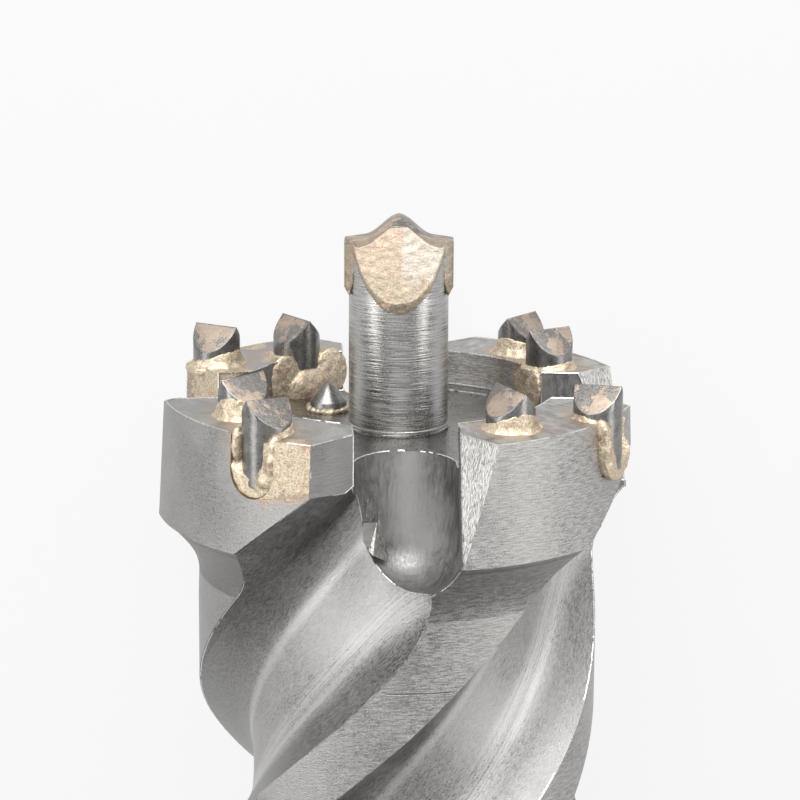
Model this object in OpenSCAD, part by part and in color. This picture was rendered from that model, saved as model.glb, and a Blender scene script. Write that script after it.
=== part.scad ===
// Core drill bit for a rotary hammer: a crown of four sectors with hard metal studs,
// a centring pilot, a four-start spiral body and a grooved plug-in shank.
// The bit lies on its side along Y, head towards +Y, with the lowest point of the crown at z = 0.
// Its pieces are drawn upright first: z = 0 is the crest of the crown and -y faces the viewer.

/* [Whole bit] */
// Length from the tip of the pilot to the end of the shank
total_length = 600; // [480:5:900]
// Turn of the bit about its own axis as it lies on two corners of the crown
roll = 3.9; // [0:0.1:10]

/* [Crown] */
// Outer diameter at the lower rim of the crown
crown_d = 80.6; // [76:0.1:90]
// Inward slope of the outer wall, from its lower rim up to the crest
crown_taper = 0.8; // [0:0.1:2]
// Width of the sectors' crest, which is also the wall of the open crown
crest_w = 13.2; // [12:0.1:15]
// Depth of the crown's floor below the crest
cavity_depth = 6.7; // [4:0.1:9]
// Height of the crown's outer wall
crown_h = 20; // [18:0.2:28]
// Fall of the crest from its inner edge to its outer edge
crest_fall = 1.2; // [0:0.1:3]
// Height of the concave neck under the crown
neck_h = 10.4; // [8:0.1:18]
// Chamfer on the crest's two edges
crest_chamfer = 0.5; // [0.1:0.1:1]

/* [Slots of the crown] */
// Width of a slot, which is also the width of its round channel
slot_w = 17.2; // [14:0.2:18]
// Lean of the channel out of the upright
channel_lean = 19.5; // [14:0.5:22]
// Distance of the channel's axis from the open crown's wall, at the crown's floor
channel_inset = 0.8; // [0:0.1:3]
// Depth of the channel's ball end below the crest
channel_depth = 18.1; // [16:0.1:21]
// Width of the bevel on the corner before a slot
bevel_w = 7.5; // [4:0.1:9]
// Width of the bevel on the corner after a slot
rake_w = 5.6; // [3:0.1:8]
// Share of that bevel's width on the slot where it was hardly ground
low_rake = 0.3; // [0.2:0.05:1]

/* [Spiral body] */
// Outer diameter of the spiral
body_d = 67; // [62:0.5:70]
// Diameter of the core between the ribs
core_d = 48.8; // [44:0.2:52]
// Advance of the spiral in one full turn
lead = 191; // [150:1:240]
// Angle of a rib's land
land_angle = 22; // [16:1:28]
// Depth of the spiral's lower end below the crest
spiral_end = 250; // [180:5:300]
// Length of the tapered run-out below the spiral
runout_h = 26; // [18:1:40]

/* [Shaft and shank] */
// Diameter of the plain shaft
shaft_d = 30; // [26:0.5:34]
// Diameter of the plug-in shank
shank_d = 18; // [16:0.1:20]
// Length of the plug-in shank
shank_length = 100; // [94:1:110]
// Height of the cone between shaft and shank
shank_cone_h = 14; // [8:1:20]
// Length of the three open driving grooves
drive_groove_length = 46; // [40:1:50]
// Length of the two closed locking grooves
lock_groove_length = 30; // [26:1:34]
// Distance of the locking grooves from the shank's end
lock_groove_start = 16; // [10:1:20]
// Chamfer at the shank's end
shank_chamfer = 2; // [0.5:0.1:3]

/* [Pilot] */
// Diameter of the pilot's shaft
pilot_d = 16.5; // [14:0.1:18]
// Height of the pilot's cutting point above the crest
pilot_height = 29; // [24:0.2:36]
// Length of the pilot that is held inside the body
pilot_seat = 26; // [15:1:35]
// Width of the hard metal plate across the pilot
plate_w = 18; // [17:0.1:20]
// Thickness of the plate
plate_t = 4; // [3:0.1:5]
// Length of the plate from its shoulders down into the pilot
plate_seat = 7.8; // [6:0.1:12]
// Rise of the plate's point above its shoulders
plate_rise = 4; // [2:0.1:5]
// Part of that rise which is an even slope, while the rest is a bell curve
tip_slope = 1.3; // [0.5:0.1:2]
// Depth of the pilot's arched end below the plate's top edge
arch_fall = 1.3; // [0.5:0.1:2.5]
// Angle of the ground flats beside the plate
flat_angle = 26.6; // [20:0.2:36]
// Depth of the flats' upper ends below the plate's point
flat_fall = 1.5; // [1:0.1:3]
// Thickness of the solder on the ground flats
solder_t = 0.35; // [0.2:0.05:0.6]

/* [Studs] */
// Diameter of a crown stud
stud_d = 8; // [7:0.1:8.4]
// Height of a stud's ridge above the crest
stud_height = 6.4; // [5:0.1:8]
// Depth of a stud's seat below the crest
stud_seat = 9; // [7:0.1:10]
// Diameter of the pointed stud on the crown's floor
core_stud_d = 6.2; // [5:0.1:8]
// Height of its point above the floor
core_stud_height = 4.8; // [4:0.1:9]
// Height of its cone
core_stud_cone = 3.3; // [2:0.1:6]
// Width of the solder gap round a stud
solder_gap = 0.4; // [0.2:0.05:0.6]
// Height and width of the solder fillet round a stud
fillet = 0.7; // [0.5:0.1:1.4]
// Thickness of the solder that ran down the studs inside the open crown
jacket = 1; // [0.4:0.1:2]
// Depth of that solder's upper end below the crest
jacket_fall = 1.5; // [1:0.1:4]
// Distance that the solder reaches outwards from the axis of a stud whose seat is open to the outside
solder_reach = 2; // [0:0.1:3]
// Depth of such an open seat below the crest
pocket_depth = 11.6; // [10:0.1:14]
// Depth at which solder fills its foot
pool_depth = 7.6; // [5:0.1:9]
// Inset of that solder from the crown's crest
pool_inset = 0.4; // [0.2:0.1:1]

/* [Hidden] */
// Number of spiral ribs, flutes and crown sectors
starts = 4;
// Slots: turn from the viewer's side, then the widths of the bevels before and after the slot, ground by eye
SLOTS = [
    [2.7, bevel_w, rake_w],
    [92.7, bevel_w - 2.6, rake_w],
    [182.7, bevel_w, rake_w],
    [269, bevel_w, rake_w * low_rake]
];
$fn = 64;
eps = 0.05;
crown_r = crown_d / 2;
crest_r = crown_r - crown_taper;
cavity_r = crest_r - crest_w;
channel_r = cavity_r - channel_inset;
body_r = body_d / 2;
core_r = core_d / 2;
shaft_r = shaft_d / 2;
shank_r = shank_d / 2;
pilot_r = pilot_d / 2;
stud_r = stud_d / 2;
slot_r = slot_w / 2;
pitch = 360 / starts;
twist_per_mm = 360 / lead;
bottom = total_length - pilot_height;
shank_top = bottom - shank_length;

// Distance from the crown's rear corners to the axis: the height at which the axis lies
rest_spread = 18.6;
axis_height = crown_r * cos(rest_spread);

// The open top of each flute: its ceiling starts at this depth, its sides join the plain spiral at flute_end
flute_top = 6.5;
flute_end = 50;
// Angle of a rib's left edge at the depth where the plain spiral starts
edge_angle_at_end = -18.1;
// Angle of the edge beside the channel's lower end, where the flute stops following the spiral
edge_angle_top = 9.3;

// Crown studs: distance from the axis, angle, how the seat is open, then how their roofs were ground:
// how much lower the ridge is, its turn and its slope towards the axis
STUDS = [
    [cavity_r + 5.0, -55, "closed", 0.2, 0, 4],
    [crest_r - 2.5, -29.3, "outside", 1.4, 8, -2],
    [cavity_r + 3.5, 30.5, "inside", 0, 0, 0],
    [cavity_r + 6.7, 50, "closed", 0, 0, 0],
    [cavity_r + 2.3, 128, "inside", 0, 0, 0],
    [crest_r - 4.3, 152, "closed", 0, 0, 0],
    [cavity_r + 4.7, -144, "closed", 0, 0, 6],
    [crest_r - 4.0, -125.8, "outside", 1.2, -18, -3]
];
STUD_NAMES = ["1", "2", "3", "4", "5", "6", "7", "8"];
core_stud_r = cavity_r - 10.6;
core_stud_angle = 139;

STEEL = [0.60, 0.58, 0.56];
HARD_METAL = [0.36, 0.35, 0.34];
SOLDER = [0.85, 0.72, 0.48];

function polar(r, a) = [r * cos(a), r * sin(a)];

// Lays an upright piece on its side, head towards +Y
module lay() {
    translate([0, bottom - total_length / 2, axis_height])
        rotate([-90, 0, 0])
            rotate([0, 0, roll])
                children();
}

// Angle of a rib's left edge at a depth below the crest, measured from the viewer's side
function spiral_edge(h) = edge_angle_at_end - (h - flute_end) * twist_per_mm;
// The same edge beside the channel, where it bends upright: depth and angle, down to the plain spiral
EDGE_BEND = [
    [flute_top, -1], [17, -1], [20, 1], [22.2, 5], [24.5, 8], [27.2, edge_angle_top], [30.2, 8.6],
    [33.2, 6.6], [36, 3.8], [38.5, 0.6], [41.2, -3.6], [44, -8], [47, -12.9], [flute_end, edge_angle_at_end]
];
function flute_edge(h) = lookup(h, EDGE_BEND);
// The other side of the flute, under the next rib, which widens towards the crown
ceiling_widening = 5.5;
function flute_ceiling(h) =
    spiral_edge(h) - (pitch - land_angle) - ceiling_widening * (flute_end - h) / (flute_end - flute_top);

// Section of one flute: how far across the flute, and the share of the rib's height above the core
FLUTE_SECTION = [
    [0.00, 1.00], [0.05, 0.60], [0.11, 0.29], [0.19, 0.09], [0.30, 0.01], [0.46, 0.00],
    [0.62, 0.04], [0.75, 0.17], [0.85, 0.38], [0.93, 0.65], [1.00, 1.00]
];
function flute_radius(share) = core_r + (body_r - core_r) * share;
// The cutter's section runs a little past the rib's height, so that no corner of it lies in the blank's wall
overcut = 0.05;
function run_past(p) = [p[0] + sign(p[0] - 0.5) * overcut / 6, 1 + overcut];
CUTTER_SECTION = [for (p = FLUTE_SECTION) p[1] < 1 ? p : run_past(p)];

// Points of one flute at a depth, from its ceiling to its edge, with the open side beyond the crown
flute_flare = 10;
function flute_ring(h) =
    let (a = flute_ceiling(h), w = flute_edge(h) - a, out = crown_r + 4)
    concat(
        [polar(out, a - flute_flare - 90)],
        [for (p = CUTTER_SECTION) polar(flute_radius(p[1]), a + p[0] * w - 90)],
        [polar(out, a + w - 90), polar(out * 1.15, a + w / 2 - 90)]
    );

// The top of one flute, lofted through rings from its ceiling down to the plain spiral
module flute_loft() {
    steps = 16;
    n = len(flute_ring(flute_top));
    depths = [for (i = [0:steps]) flute_top + (flute_end - flute_top) * i / steps];
    points = [for (h = depths) for (p = flute_ring(h)) [p[0], p[1], -h]];
    sides = [for (i = [0:steps - 1]) for (j = [0:n - 1])
        [i * n + j, (i + 1) * n + j, (i + 1) * n + (j + 1) % n, i * n + (j + 1) % n]];
    triangles = [for (q = sides) each [[q[0], q[1], q[2]], [q[0], q[2], q[3]]]];
    top = [for (j = [0:n - 1]) (j + n - 1) % n];
    low = [for (j = [n - 1:-1:0]) steps * n + j];
    polyhedron(points, concat(triangles, [top, low]), convexity = 6);
}

// Section of the spiral where it starts, drawn in a little where another piece of it begins
module spiral_section(inset = 0) {
    a = spiral_edge(flute_end);
    w = pitch - land_angle;
    points = [for (k = [0:starts - 1]) each concat(
        [for (p = FLUTE_SECTION) polar(flute_radius(p[1]) - inset, a - w + p[0] * w + k * pitch - 90)],
        [for (i = [1:2]) polar(body_r - inset, a + land_angle * i / 3 + k * pitch - 90)]
    )];
    polygon(points);
}

module spiral() {
    length = spiral_end - flute_end;
    turn = length * twist_per_mm;
    runout_turn = runout_h * twist_per_mm;
    runout_scale = (shaft_r - 1) / body_r;
    translate([0, 0, -flute_end])
        mirror([0, 0, 1])
            linear_extrude(height = length, twist = turn, slices = 48, convexity = 6)
                spiral_section();
    translate([0, 0, -spiral_end])
        mirror([0, 0, 1])
            rotate([0, 0, -turn])
                linear_extrude(height = runout_h, twist = runout_turn, scale = runout_scale, slices = 7)
                    spiral_section(inset = eps);
}

// Outline of the crown, its neck and the start of the spiral, before anything is cut
module crown_profile() {
    neck_steps = 10;
    neck_rise = crown_r - body_r - 0.6;
    neck_low = crown_h + neck_h;
    polygon(concat(
        [[0, -cavity_depth], [cavity_r, -cavity_depth], [cavity_r, -crest_chamfer],
         [cavity_r + crest_chamfer, 0], [crest_r - crest_chamfer, -crest_fall],
         [crest_r, -crest_fall - crest_chamfer], [crown_r, -crown_h]],
        [for (i = [0:neck_steps])
            let (share = i / neck_steps)
            [body_r + neck_rise * (1 - sin(90 * share)), -neck_low + (neck_h - 0.3) * (1 - share)]],
        [[body_r, -flute_end], [0, -flute_end]]
    ));
}

module crown_blank() {
    rotate_extrude($fn = 128)
        crown_profile();
}

// One slot: a leaning channel with a ball end, open to the outside, and the gap above it
module slot_cut() {
    reach = crown_r;
    drop = channel_depth - cavity_depth;
    centre = [0, -channel_r - drop * tan(channel_lean), -channel_depth];
    up = drop + 24;
    lean_x = -up * sin(channel_lean);
    lean_z = up * cos(channel_lean);
    translate(centre) {
        sphere(r = slot_r);
        rotate([-channel_lean, 0, 0])
            cylinder(r = slot_r, h = up);
        rotate([90, 0, 0])
            cylinder(r = slot_r, h = reach);
        rotate([90, 0, -90])
            linear_extrude(height = slot_w - eps, center = true)
                polygon([[0, 0], [lean_x, lean_z], [reach, lean_z], [reach, 0]]);
    }
}

// The two ground corners of one slot
bevel_slope = 0.83;
bevel_depth = 15.2;
module slot_bevels(w, rake) {
    wall = [slot_r - eps, sqrt(crown_r * crown_r - pow(slot_r + w, 2)) - w * bevel_slope];
    out = crown_r + 6;
    left_reach = w * 2;
    far = -wall[0] - left_reach;
    translate([0, 0, -bevel_depth])
        linear_extrude(height = bevel_depth + 5)
            polygon([[-wall[0], -wall[1]], [far, -wall[1] - left_reach * bevel_slope],
                     [far, -out - left_reach], [-wall[0], -out - left_reach]]);
    rim_y = sqrt(crown_r * crown_r - slot_r * slot_r);
    crest_y = rim_y - rake * 1.5;
    side = 24;
    lift = 5;
    inner = crest_y - lift * (rim_y - crest_y) / crown_h;
    a = [wall[0], -inner, lift];
    b = [wall[0] + side, -inner - side, lift];
    c = [wall[0], -rim_y, -crown_h];
    d = [wall[0], -out - side, lift];
    polyhedron([a, b, c, d], [[0, 1, 3], [0, 3, 2], [0, 2, 1], [1, 2, 3]]);
}

module stud_place(s) {
    rotate([0, 0, s[1]])
        translate([s[0], 0, 0])
            children();
}

// Seat of a stud, which may run out through the outer or the inner wall
seat_r = stud_r + solder_gap;
seat_depth = stud_seat + solder_gap;
module stud_seat_cut(s) {
    stud_place(s) {
        translate([0, 0, -seat_depth])
            cylinder(r = seat_r, h = seat_depth + 1);
        if (s[2] == "outside")
            stud_pocket();
    }
}

// The open side of a seat: a notch with a round foot, a hair narrower than the seat
module stud_pocket() {
    foot_r = seat_r - 2 * eps;
    foot_z = foot_r - pocket_depth;
    translate([0, 0, foot_z])
        rotate([0, 90, 0])
            cylinder(r = foot_r, h = crown_r);
    translate([0, eps - foot_r, foot_z])
        cube([crown_r, 2 * (foot_r - eps), 1 - foot_z]);
}

// A stud with a roof: two ground faces that meet in a ridge towards the axis
module stud_solid(s) {
    stud_place(s)
        intersection() {
            translate([0, 0, -stud_seat])
                cylinder(r = stud_r, h = stud_seat + stud_height + 1);
            translate([0, 0, stud_height - s[3]])
                rotate([0, s[5], s[4]])
                    translate([-stud_d, 0, 0])
                        rotate([225, 0, 0])
                            cube([2 * stud_d, 4 * stud_d, 4 * stud_d]);
        }
}

// Solder round a stud: it fills the seat and rises in a fillet, and at an open seat it only fills the foot
module stud_solder_solid(s) {
    reach = s[2] == "outside" ? solder_reach : crown_r;
    difference() {
        union() {
            intersection() {
                union() {
                    stud_place(s)
                        translate([0, 0, -seat_depth])
                            cylinder(r = seat_r, h = seat_depth + fillet / 4);
                    stud_fillet(s);
                    if (s[2] == "inside")
                        stud_jacket(s);
                }
                stud_place(s)
                    translate([-crown_r, -crown_r, -2 * crown_r])
                        cube([crown_r + reach, 2 * crown_r, 3 * crown_r]);
            }
            if (s[2] == "outside")
                stud_pool(s);
        }
        stud_solid(s);
    }
}

// The fillet lies on the crest and keeps clear of its inner and outer edge
module stud_fillet(s) {
    low = crest_fall + crest_chamfer;
    top_r = stud_r + 0.1;
    edge = crest_chamfer / 2;
    difference() {
        intersection() {
            stud_place(s)
                translate([0, 0, -low])
                    cylinder(r1 = top_r + low + fillet, r2 = top_r, h = low + fillet);
            translate([0, 0, -crown_h])
                cylinder(r = crest_r - edge, h = 2 * crown_h, $fn = 128);
        }
        crown_blank();
        translate([0, 0, -crown_h])
            cylinder(r = cavity_r + edge, h = 2 * crown_h, $fn = 128);
    }
}

// Solder that ran down into the open crown
module stud_jacket(s) {
    difference() {
        stud_place(s)
            translate([0, 0, -cavity_depth - 1])
                cylinder(r = seat_r + jacket, h = cavity_depth + 1 - jacket_fall);
        crown_blank();
    }
}

// Solder at the foot of an open seat
module stud_pool(s) {
    intersection() {
        stud_place(s) {
            stud_pocket();
            translate([0, 0, -seat_depth])
                cylinder(r = seat_r, h = seat_depth);
        }
        translate([0, 0, -crown_h])
            cylinder(r = crest_r - pool_inset, h = crown_h - pool_depth, $fn = 128);
    }
}

module core_stud_place() {
    rotate([0, 0, core_stud_angle])
        translate([core_stud_r, 0, -cavity_depth])
            children();
}

core_stud_seat = 5;
core_seat_r = core_stud_d / 2 + solder_gap;
module core_stud_seat_cut() {
    core_stud_place()
        translate([0, 0, -core_stud_seat - solder_gap])
            cylinder(r = core_seat_r, h = core_stud_seat + 5);
}

module shank_groove(width, length, start, open) {
    depth = 2.6;
    r = width / 2;
    translate([0, -shank_r + depth - r, -bottom + start]) {
        translate([0, 0, open ? -1 : r])
            cylinder(r = r, h = length - (open ? r - 1 : 2 * r));
        translate([0, 0, length - r])
            sphere(r = r);
        if (!open)
            translate([0, 0, r])
                sphere(r = r);
    }
}

module shank_solid() {
    difference() {
        rotate_extrude($fn = 96)
            polygon([[0, -spiral_end - 4], [shaft_r, -spiral_end - 4], [shaft_r, -shank_top + shank_cone_h],
                     [shank_r, -shank_top], [shank_r, -bottom + shank_chamfer],
                     [shank_r - shank_chamfer / 2, -bottom], [0, -bottom]]);
        for (a = [90, 210, 330])
            rotate([0, 0, a + 90])
                shank_groove(5, drive_groove_length, 0, true);
        for (a = [0, 180])
            rotate([0, 0, a + 60])
                shank_groove(6, lock_groove_length, lock_groove_start, false);
    }
}

module body_solid() {
    difference() {
        crown_blank();
        for (s = SLOTS)
            rotate([0, 0, s[0]]) {
                slot_cut();
                slot_bevels(s[1], s[2]);
            }
        for (k = [0:starts - 1])
            rotate([0, 0, k * pitch])
                flute_loft();
        for (s = STUDS)
            stud_seat_cut(s);
        core_stud_seat_cut();
        translate([0, 0, -cavity_depth - pilot_seat])
            cylinder(r = pilot_r, h = pilot_seat + 10);
    }
    spiral();
    shank_solid();
}

shoulder = pilot_height - plate_rise;
plate_bottom = shoulder - plate_seat;

// Height of the plate's top edge, at a share of its half width: even slopes with a bell in the middle
bell_share = 0.62;
function bell(u) = 0.5 + 0.5 * cos(180 * min(1, abs(u) / bell_share));
function plate_top(u) = shoulder + (plate_rise - tip_slope) * bell(u) + tip_slope * (1 - abs(u));
function plate_edge(fall, half) = [for (k = [-9:9]) [half * k / 9, plate_top(k / 9) - fall]];

// A solid across the pilot, as wide and thick as asked, under the plate's curve
module under_curve(fall, half, thick) {
    low = -cavity_depth - pilot_seat - 1;
    translate([0, thick / 2, 0])
        rotate([90, 0, 0])
            linear_extrude(height = thick)
                polygon(concat([[half, low], [-half, low]], plate_edge(fall, half)));
}

// The solid cut away beside the plate on one side of the pilot
module pilot_flat(extra) {
    translate([0, -plate_t / 2 - extra, pilot_height - flat_fall])
        rotate([-flat_angle, 0, 0])
            translate([-plate_w, -plate_w, -60])
                cube([2 * plate_w, plate_w, 80]);
}

module both_flats(extra) {
    for (m = [0, 1])
        mirror([0, m, 0])
            pilot_flat(extra);
}

module plate_slit() {
    translate([-plate_w, -plate_t / 2, plate_bottom])
        cube([2 * plate_w, plate_t, 2 * plate_w]);
}

module pilot_shaft_solid() {
    difference() {
        intersection() {
            translate([0, 0, -cavity_depth - pilot_seat])
                cylinder(r = pilot_r, h = pilot_seat + cavity_depth + pilot_height);
            under_curve(arch_fall, plate_w / 2, plate_w + 2);
        }
        both_flats(0);
        plate_slit();
    }
}

module plate_solid() {
    intersection() {
        under_curve(0, plate_w / 2, plate_t);
        translate([0, 0, plate_bottom])
            cylinder(r = plate_w / 2, h = pilot_height);
    }
}

// Solder left on the two ground flats beside the plate
module pilot_solder_solid() {
    intersection() {
        difference() {
            cylinder(r = pilot_r, h = pilot_height);
            both_flats(solder_t);
            plate_slit();
        }
        both_flats(0);
        under_curve(arch_fall + solder_t, plate_w / 2, plate_w + 2);
    }
}

module spiral_crown_body() { color(STEEL) lay() body_solid(); }
module pilot_shaft() { color(STEEL) lay() pilot_shaft_solid(); }
module pilot_tip_plate() { color(HARD_METAL) lay() plate_solid(); }
module pilot_solder() { color(SOLDER) lay() pilot_solder_solid(); }
module crown_stud(i) { color(HARD_METAL) lay() stud_solid(STUDS[i]); }
module stud_solder(i) { color(SOLDER) lay() stud_solder_solid(STUDS[i]); }
module core_stud() {
    rim = core_stud_height - core_stud_cone;
    color(HARD_METAL)
        lay()
            core_stud_place() {
                translate([0, 0, -core_stud_seat])
                    cylinder(d = core_stud_d, h = core_stud_seat + rim);
                translate([0, 0, rim])
                    cylinder(d1 = core_stud_d, d2 = 0.6, h = core_stud_cone);
            }
}
module core_stud_solder() {
    color(SOLDER)
        lay()
            core_stud_place()
                difference() {
                    union() {
                        translate([0, 0, -core_stud_seat - solder_gap])
                            cylinder(r = core_seat_r, h = core_stud_seat + solder_gap);
                        cylinder(r1 = core_seat_r + fillet, r2 = core_stud_d / 2 + 0.1, h = fillet);
                    }
                    translate([0, 0, -core_stud_seat])
                        cylinder(d = core_stud_d, h = core_stud_seat + core_stud_height);
                }
}

spiral_crown_body();
pilot_shaft();
pilot_tip_plate();
pilot_solder();
for (i = [0:len(STUDS) - 1]) {
    crown_stud(i);
    stud_solder(i);
}
core_stud();
core_stud_solder();
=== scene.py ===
# %% [markdown]
# This lesson dresses a hollow-crown bit for a rotary hammer. The real bit is a forged steel body with four
# milled spiral flutes, a crown ground open into four sectors, hard metal studs brazed into it, and a turned
# pilot with a brazed cutting plate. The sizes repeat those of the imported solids, apart from the crest's fall
# and the depth of the open pockets, which were measured again later. The lesson makes smooth, finely cut
# meshes of the same form and gives each ground, milled, turned and brazed surface its own finish.

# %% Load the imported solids
import math
from contextlib import contextmanager

import bmesh
import bpy
from mathutils import Euler, Matrix, Vector, noise


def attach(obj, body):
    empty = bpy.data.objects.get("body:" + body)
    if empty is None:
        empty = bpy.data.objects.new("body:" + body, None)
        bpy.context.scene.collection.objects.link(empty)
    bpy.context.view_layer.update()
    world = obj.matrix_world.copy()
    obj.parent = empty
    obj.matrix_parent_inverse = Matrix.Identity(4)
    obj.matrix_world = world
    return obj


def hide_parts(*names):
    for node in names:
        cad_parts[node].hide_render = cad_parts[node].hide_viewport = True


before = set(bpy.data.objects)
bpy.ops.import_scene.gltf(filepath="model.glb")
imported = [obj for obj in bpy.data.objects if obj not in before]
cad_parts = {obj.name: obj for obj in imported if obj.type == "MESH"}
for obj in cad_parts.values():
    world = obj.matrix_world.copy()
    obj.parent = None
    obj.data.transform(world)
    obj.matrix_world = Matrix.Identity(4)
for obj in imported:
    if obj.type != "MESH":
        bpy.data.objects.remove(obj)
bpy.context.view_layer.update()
print("nodes:", len(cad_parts))

# %% [markdown]
# The bit can't stand by itself, so it lies on two corners of its crown. Everything is easier to think of
# upright, with the crest of the crown at z = 0 and the photographed side at -y, in millimetres. One matrix
# lays a finished mesh down and turns millimetres into metres.

# %% Driving sizes in millimetres, and the matrix that lays the bit down
TOTAL_LENGTH = 600.0
PILOT_HEIGHT, PILOT_SEAT = 29.0, 26.0
ROLL = math.radians(3.9)
CROWN_R, CREST_R, CAVITY_R = 40.3, 39.5, 26.3
CAVITY_DEPTH, CROWN_H, CREST_FALL, NECK_H = 6.7, 20.0, 0.4, 10.4
BODY_R, CORE_R, SHAFT_R, SHANK_R, PILOT_R = 33.5, 24.4, 15.0, 9.0, 8.25
LEAD, LAND_ANGLE, STARTS = 191.0, 22.0, 4
SPIRAL_END, RUNOUT_H, FLUTE_TOP, FLUTE_END = 250.0, 26.0, 6.5, 50.0
# Angle of a flute's lower edge where the plain spiral starts, and the body's scale where it has run out
EDGE_AT_END, END_SCALE = -18.1, (SHAFT_R - 1) / BODY_R
SLOT_R, CHANNEL_LEAN, CHANNEL_R, CHANNEL_DEPTH = 8.6, math.radians(19.5), 25.5, 18.1
BOTTOM = TOTAL_LENGTH - PILOT_HEIGHT
SHANK_TOP = BOTTOM - 100.0
# Half the angle between the two crown corners that the bit lies on
REST_SPREAD = math.radians(18.6)
AXIS_HEIGHT = CROWN_R * math.cos(REST_SPREAD)
MM = 0.001

UPRIGHT_TO_LYING = (
    Matrix.Translation((0, (BOTTOM - TOTAL_LENGTH / 2) * MM, AXIS_HEIGHT * MM))
    @ Matrix.Rotation(math.radians(-90), 4, "X")
    @ Matrix.Rotation(ROLL, 4, "Z")
    @ Matrix.Scale(MM, 4)
)


def lying(x, y, z):
    """Gives an upright point in millimetres its place in the lying bit, in metres."""
    return UPRIGHT_TO_LYING @ Vector((x, y, z))


print("the bit's axis lies at", round(AXIS_HEIGHT, 2), "mm over the floor")

# %% [markdown]
# The photographed view looks at the crown from the side and a little from above. Because the bit lies down,
# the camera hangs over it and looks down, and the bit's head points to the top of the picture.

# %% Camera over the crown
VIEW_LIFT = math.radians(14.5)
VIEW_DISTANCE = 583.3
VIEW_ROLL = math.radians(0.3)
VIEW_TARGET = (0.3, 0.0, -2.4)
LENS, SENSOR = 157.5, 36.0


def make_camera():
    data = bpy.data.cameras.new("camera")
    camera = bpy.data.objects.new("camera", data)
    bpy.context.scene.collection.objects.link(camera)
    towards = Vector((0, -math.cos(VIEW_LIFT), math.sin(VIEW_LIFT)))
    place = Vector(VIEW_TARGET) + towards * VIEW_DISTANCE
    turn = towards.to_track_quat("Z", "Y").to_matrix().to_4x4() @ Matrix.Rotation(VIEW_ROLL, 4, "Z")
    upright = Matrix.Translation(place) @ turn
    _, rotation, _ = (UPRIGHT_TO_LYING @ upright).decompose()
    camera.matrix_world = Matrix.Translation(lying(*place)) @ rotation.to_matrix().to_4x4()
    data.sensor_width = SENSOR
    data.lens = LENS
    data.clip_start = 0.01
    data.clip_end = 20
    bpy.context.scene.camera = camera
    return camera


camera = make_camera()
print("camera at", [round(v, 3) for v in camera.location])

# %% [markdown]
# Shader sums read best as plain arithmetic. The small class below wraps a socket so that +, -, * and / add
# Math nodes, and one method makes any other node from its type, its settings and its sockets.

# %% A small language for node trees
class Term:
    """A node's output that can be worked on with Python's operators."""

    def __init__(self, net, socket):
        self.net = net
        self.socket = socket

    def sum(self, operation, *others):
        values = {f"i{n}": value for n, value in enumerate((self,) + others)}
        return self.net.node("ShaderNodeMath", {"operation": operation}, **values)

    def __add__(self, other):
        return self.sum("ADD", other)

    __radd__ = __add__

    def __mul__(self, other):
        return self.sum("MULTIPLY", other)

    __rmul__ = __mul__

    def __sub__(self, other):
        return self.sum("SUBTRACT", other)

    def __rsub__(self, other):
        return self.net.node("ShaderNodeMath", {"operation": "SUBTRACT"}, i0=other, i1=self)

    def __truediv__(self, other):
        return self.sum("DIVIDE", other)

    def __rtruediv__(self, other):
        return self.net.node("ShaderNodeMath", {"operation": "DIVIDE"}, i0=other, i1=self)

    def __pow__(self, other):
        return self.sum("POWER", other)

    def least(self, other):
        return self.sum("MINIMUM", other)

    def most(self, other):
        return self.sum("MAXIMUM", other)

    def sine(self):
        return self.sum("SINE")

    def size(self):
        return self.sum("ABSOLUTE")

    def spread(self, width=0.14):
        """Spreads the middle of a noise over -0.5 to 0.5."""
        return self.ramp(0.5 - width, 0.5 + width) - 0.5

    def ramp(self, low, high, to_low=0.0, to_high=1.0):
        """Rises smoothly from to_low at low to to_high at high."""
        return self.net.node("ShaderNodeMapRange", {"interpolation_type": "SMOOTHSTEP"}, Value=self,
                             From_Min=low, From_Max=high, To_Min=to_low, To_Max=to_high)


class Net:
    """Adds nodes to one tree."""

    def __init__(self, tree):
        self.tree = tree

    def feed(self, socket, value):
        if isinstance(value, Term):
            self.tree.links.new(value.socket, socket)
        else:
            socket.default_value = value

    def node(self, kind, settings=None, out=0, **sockets):
        made = self.tree.nodes.new(kind)
        for name, value in (settings or {}).items():
            setattr(made, name, value)
        for name, value in sockets.items():
            key = int(name[1:]) if name[0] == "i" and name[1:].isdigit() else name.replace("_", " ")
            self.feed(made.inputs[key], value)
        return Term(self, made.outputs[out])

    def parts(self, vector):
        """Splits a vector in its three numbers."""
        first = self.node("ShaderNodeSeparateXYZ", Vector=vector)
        return [Term(self, output) for output in first.socket.node.outputs]

    def vector(self, x, y, z):
        return self.node("ShaderNodeCombineXYZ", X=x, Y=y, Z=z)

    def mix(self, share, first, second):
        """Mixes two colours."""
        made = self.tree.nodes.new("ShaderNodeMix")
        made.data_type = "RGBA"
        for place, value in ((0, share), (6, first), (7, second)):
            self.feed(made.inputs[place], value)
        return Term(self, made.outputs[2])

    def noise(self, vector, scale, detail=2.0, rough=0.5):
        return self.node("ShaderNodeTexNoise", Vector=vector, Scale=scale, Detail=detail, Roughness=rough)


print("node helpers ready")

# %% [markdown]
# Every finish on this bit follows the bit's own axis: rings from the lathe, milling lines along the flutes.
# So each material first turns the lying piece's Object coordinates back upright, in millimetres, with one
# Mapping node, and works out the distance from the axis, the angle round it and the depth below the crest.

# %% Coordinates that follow the bit
LYING_TO_UPRIGHT = UPRIGHT_TO_LYING.inverted()


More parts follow.
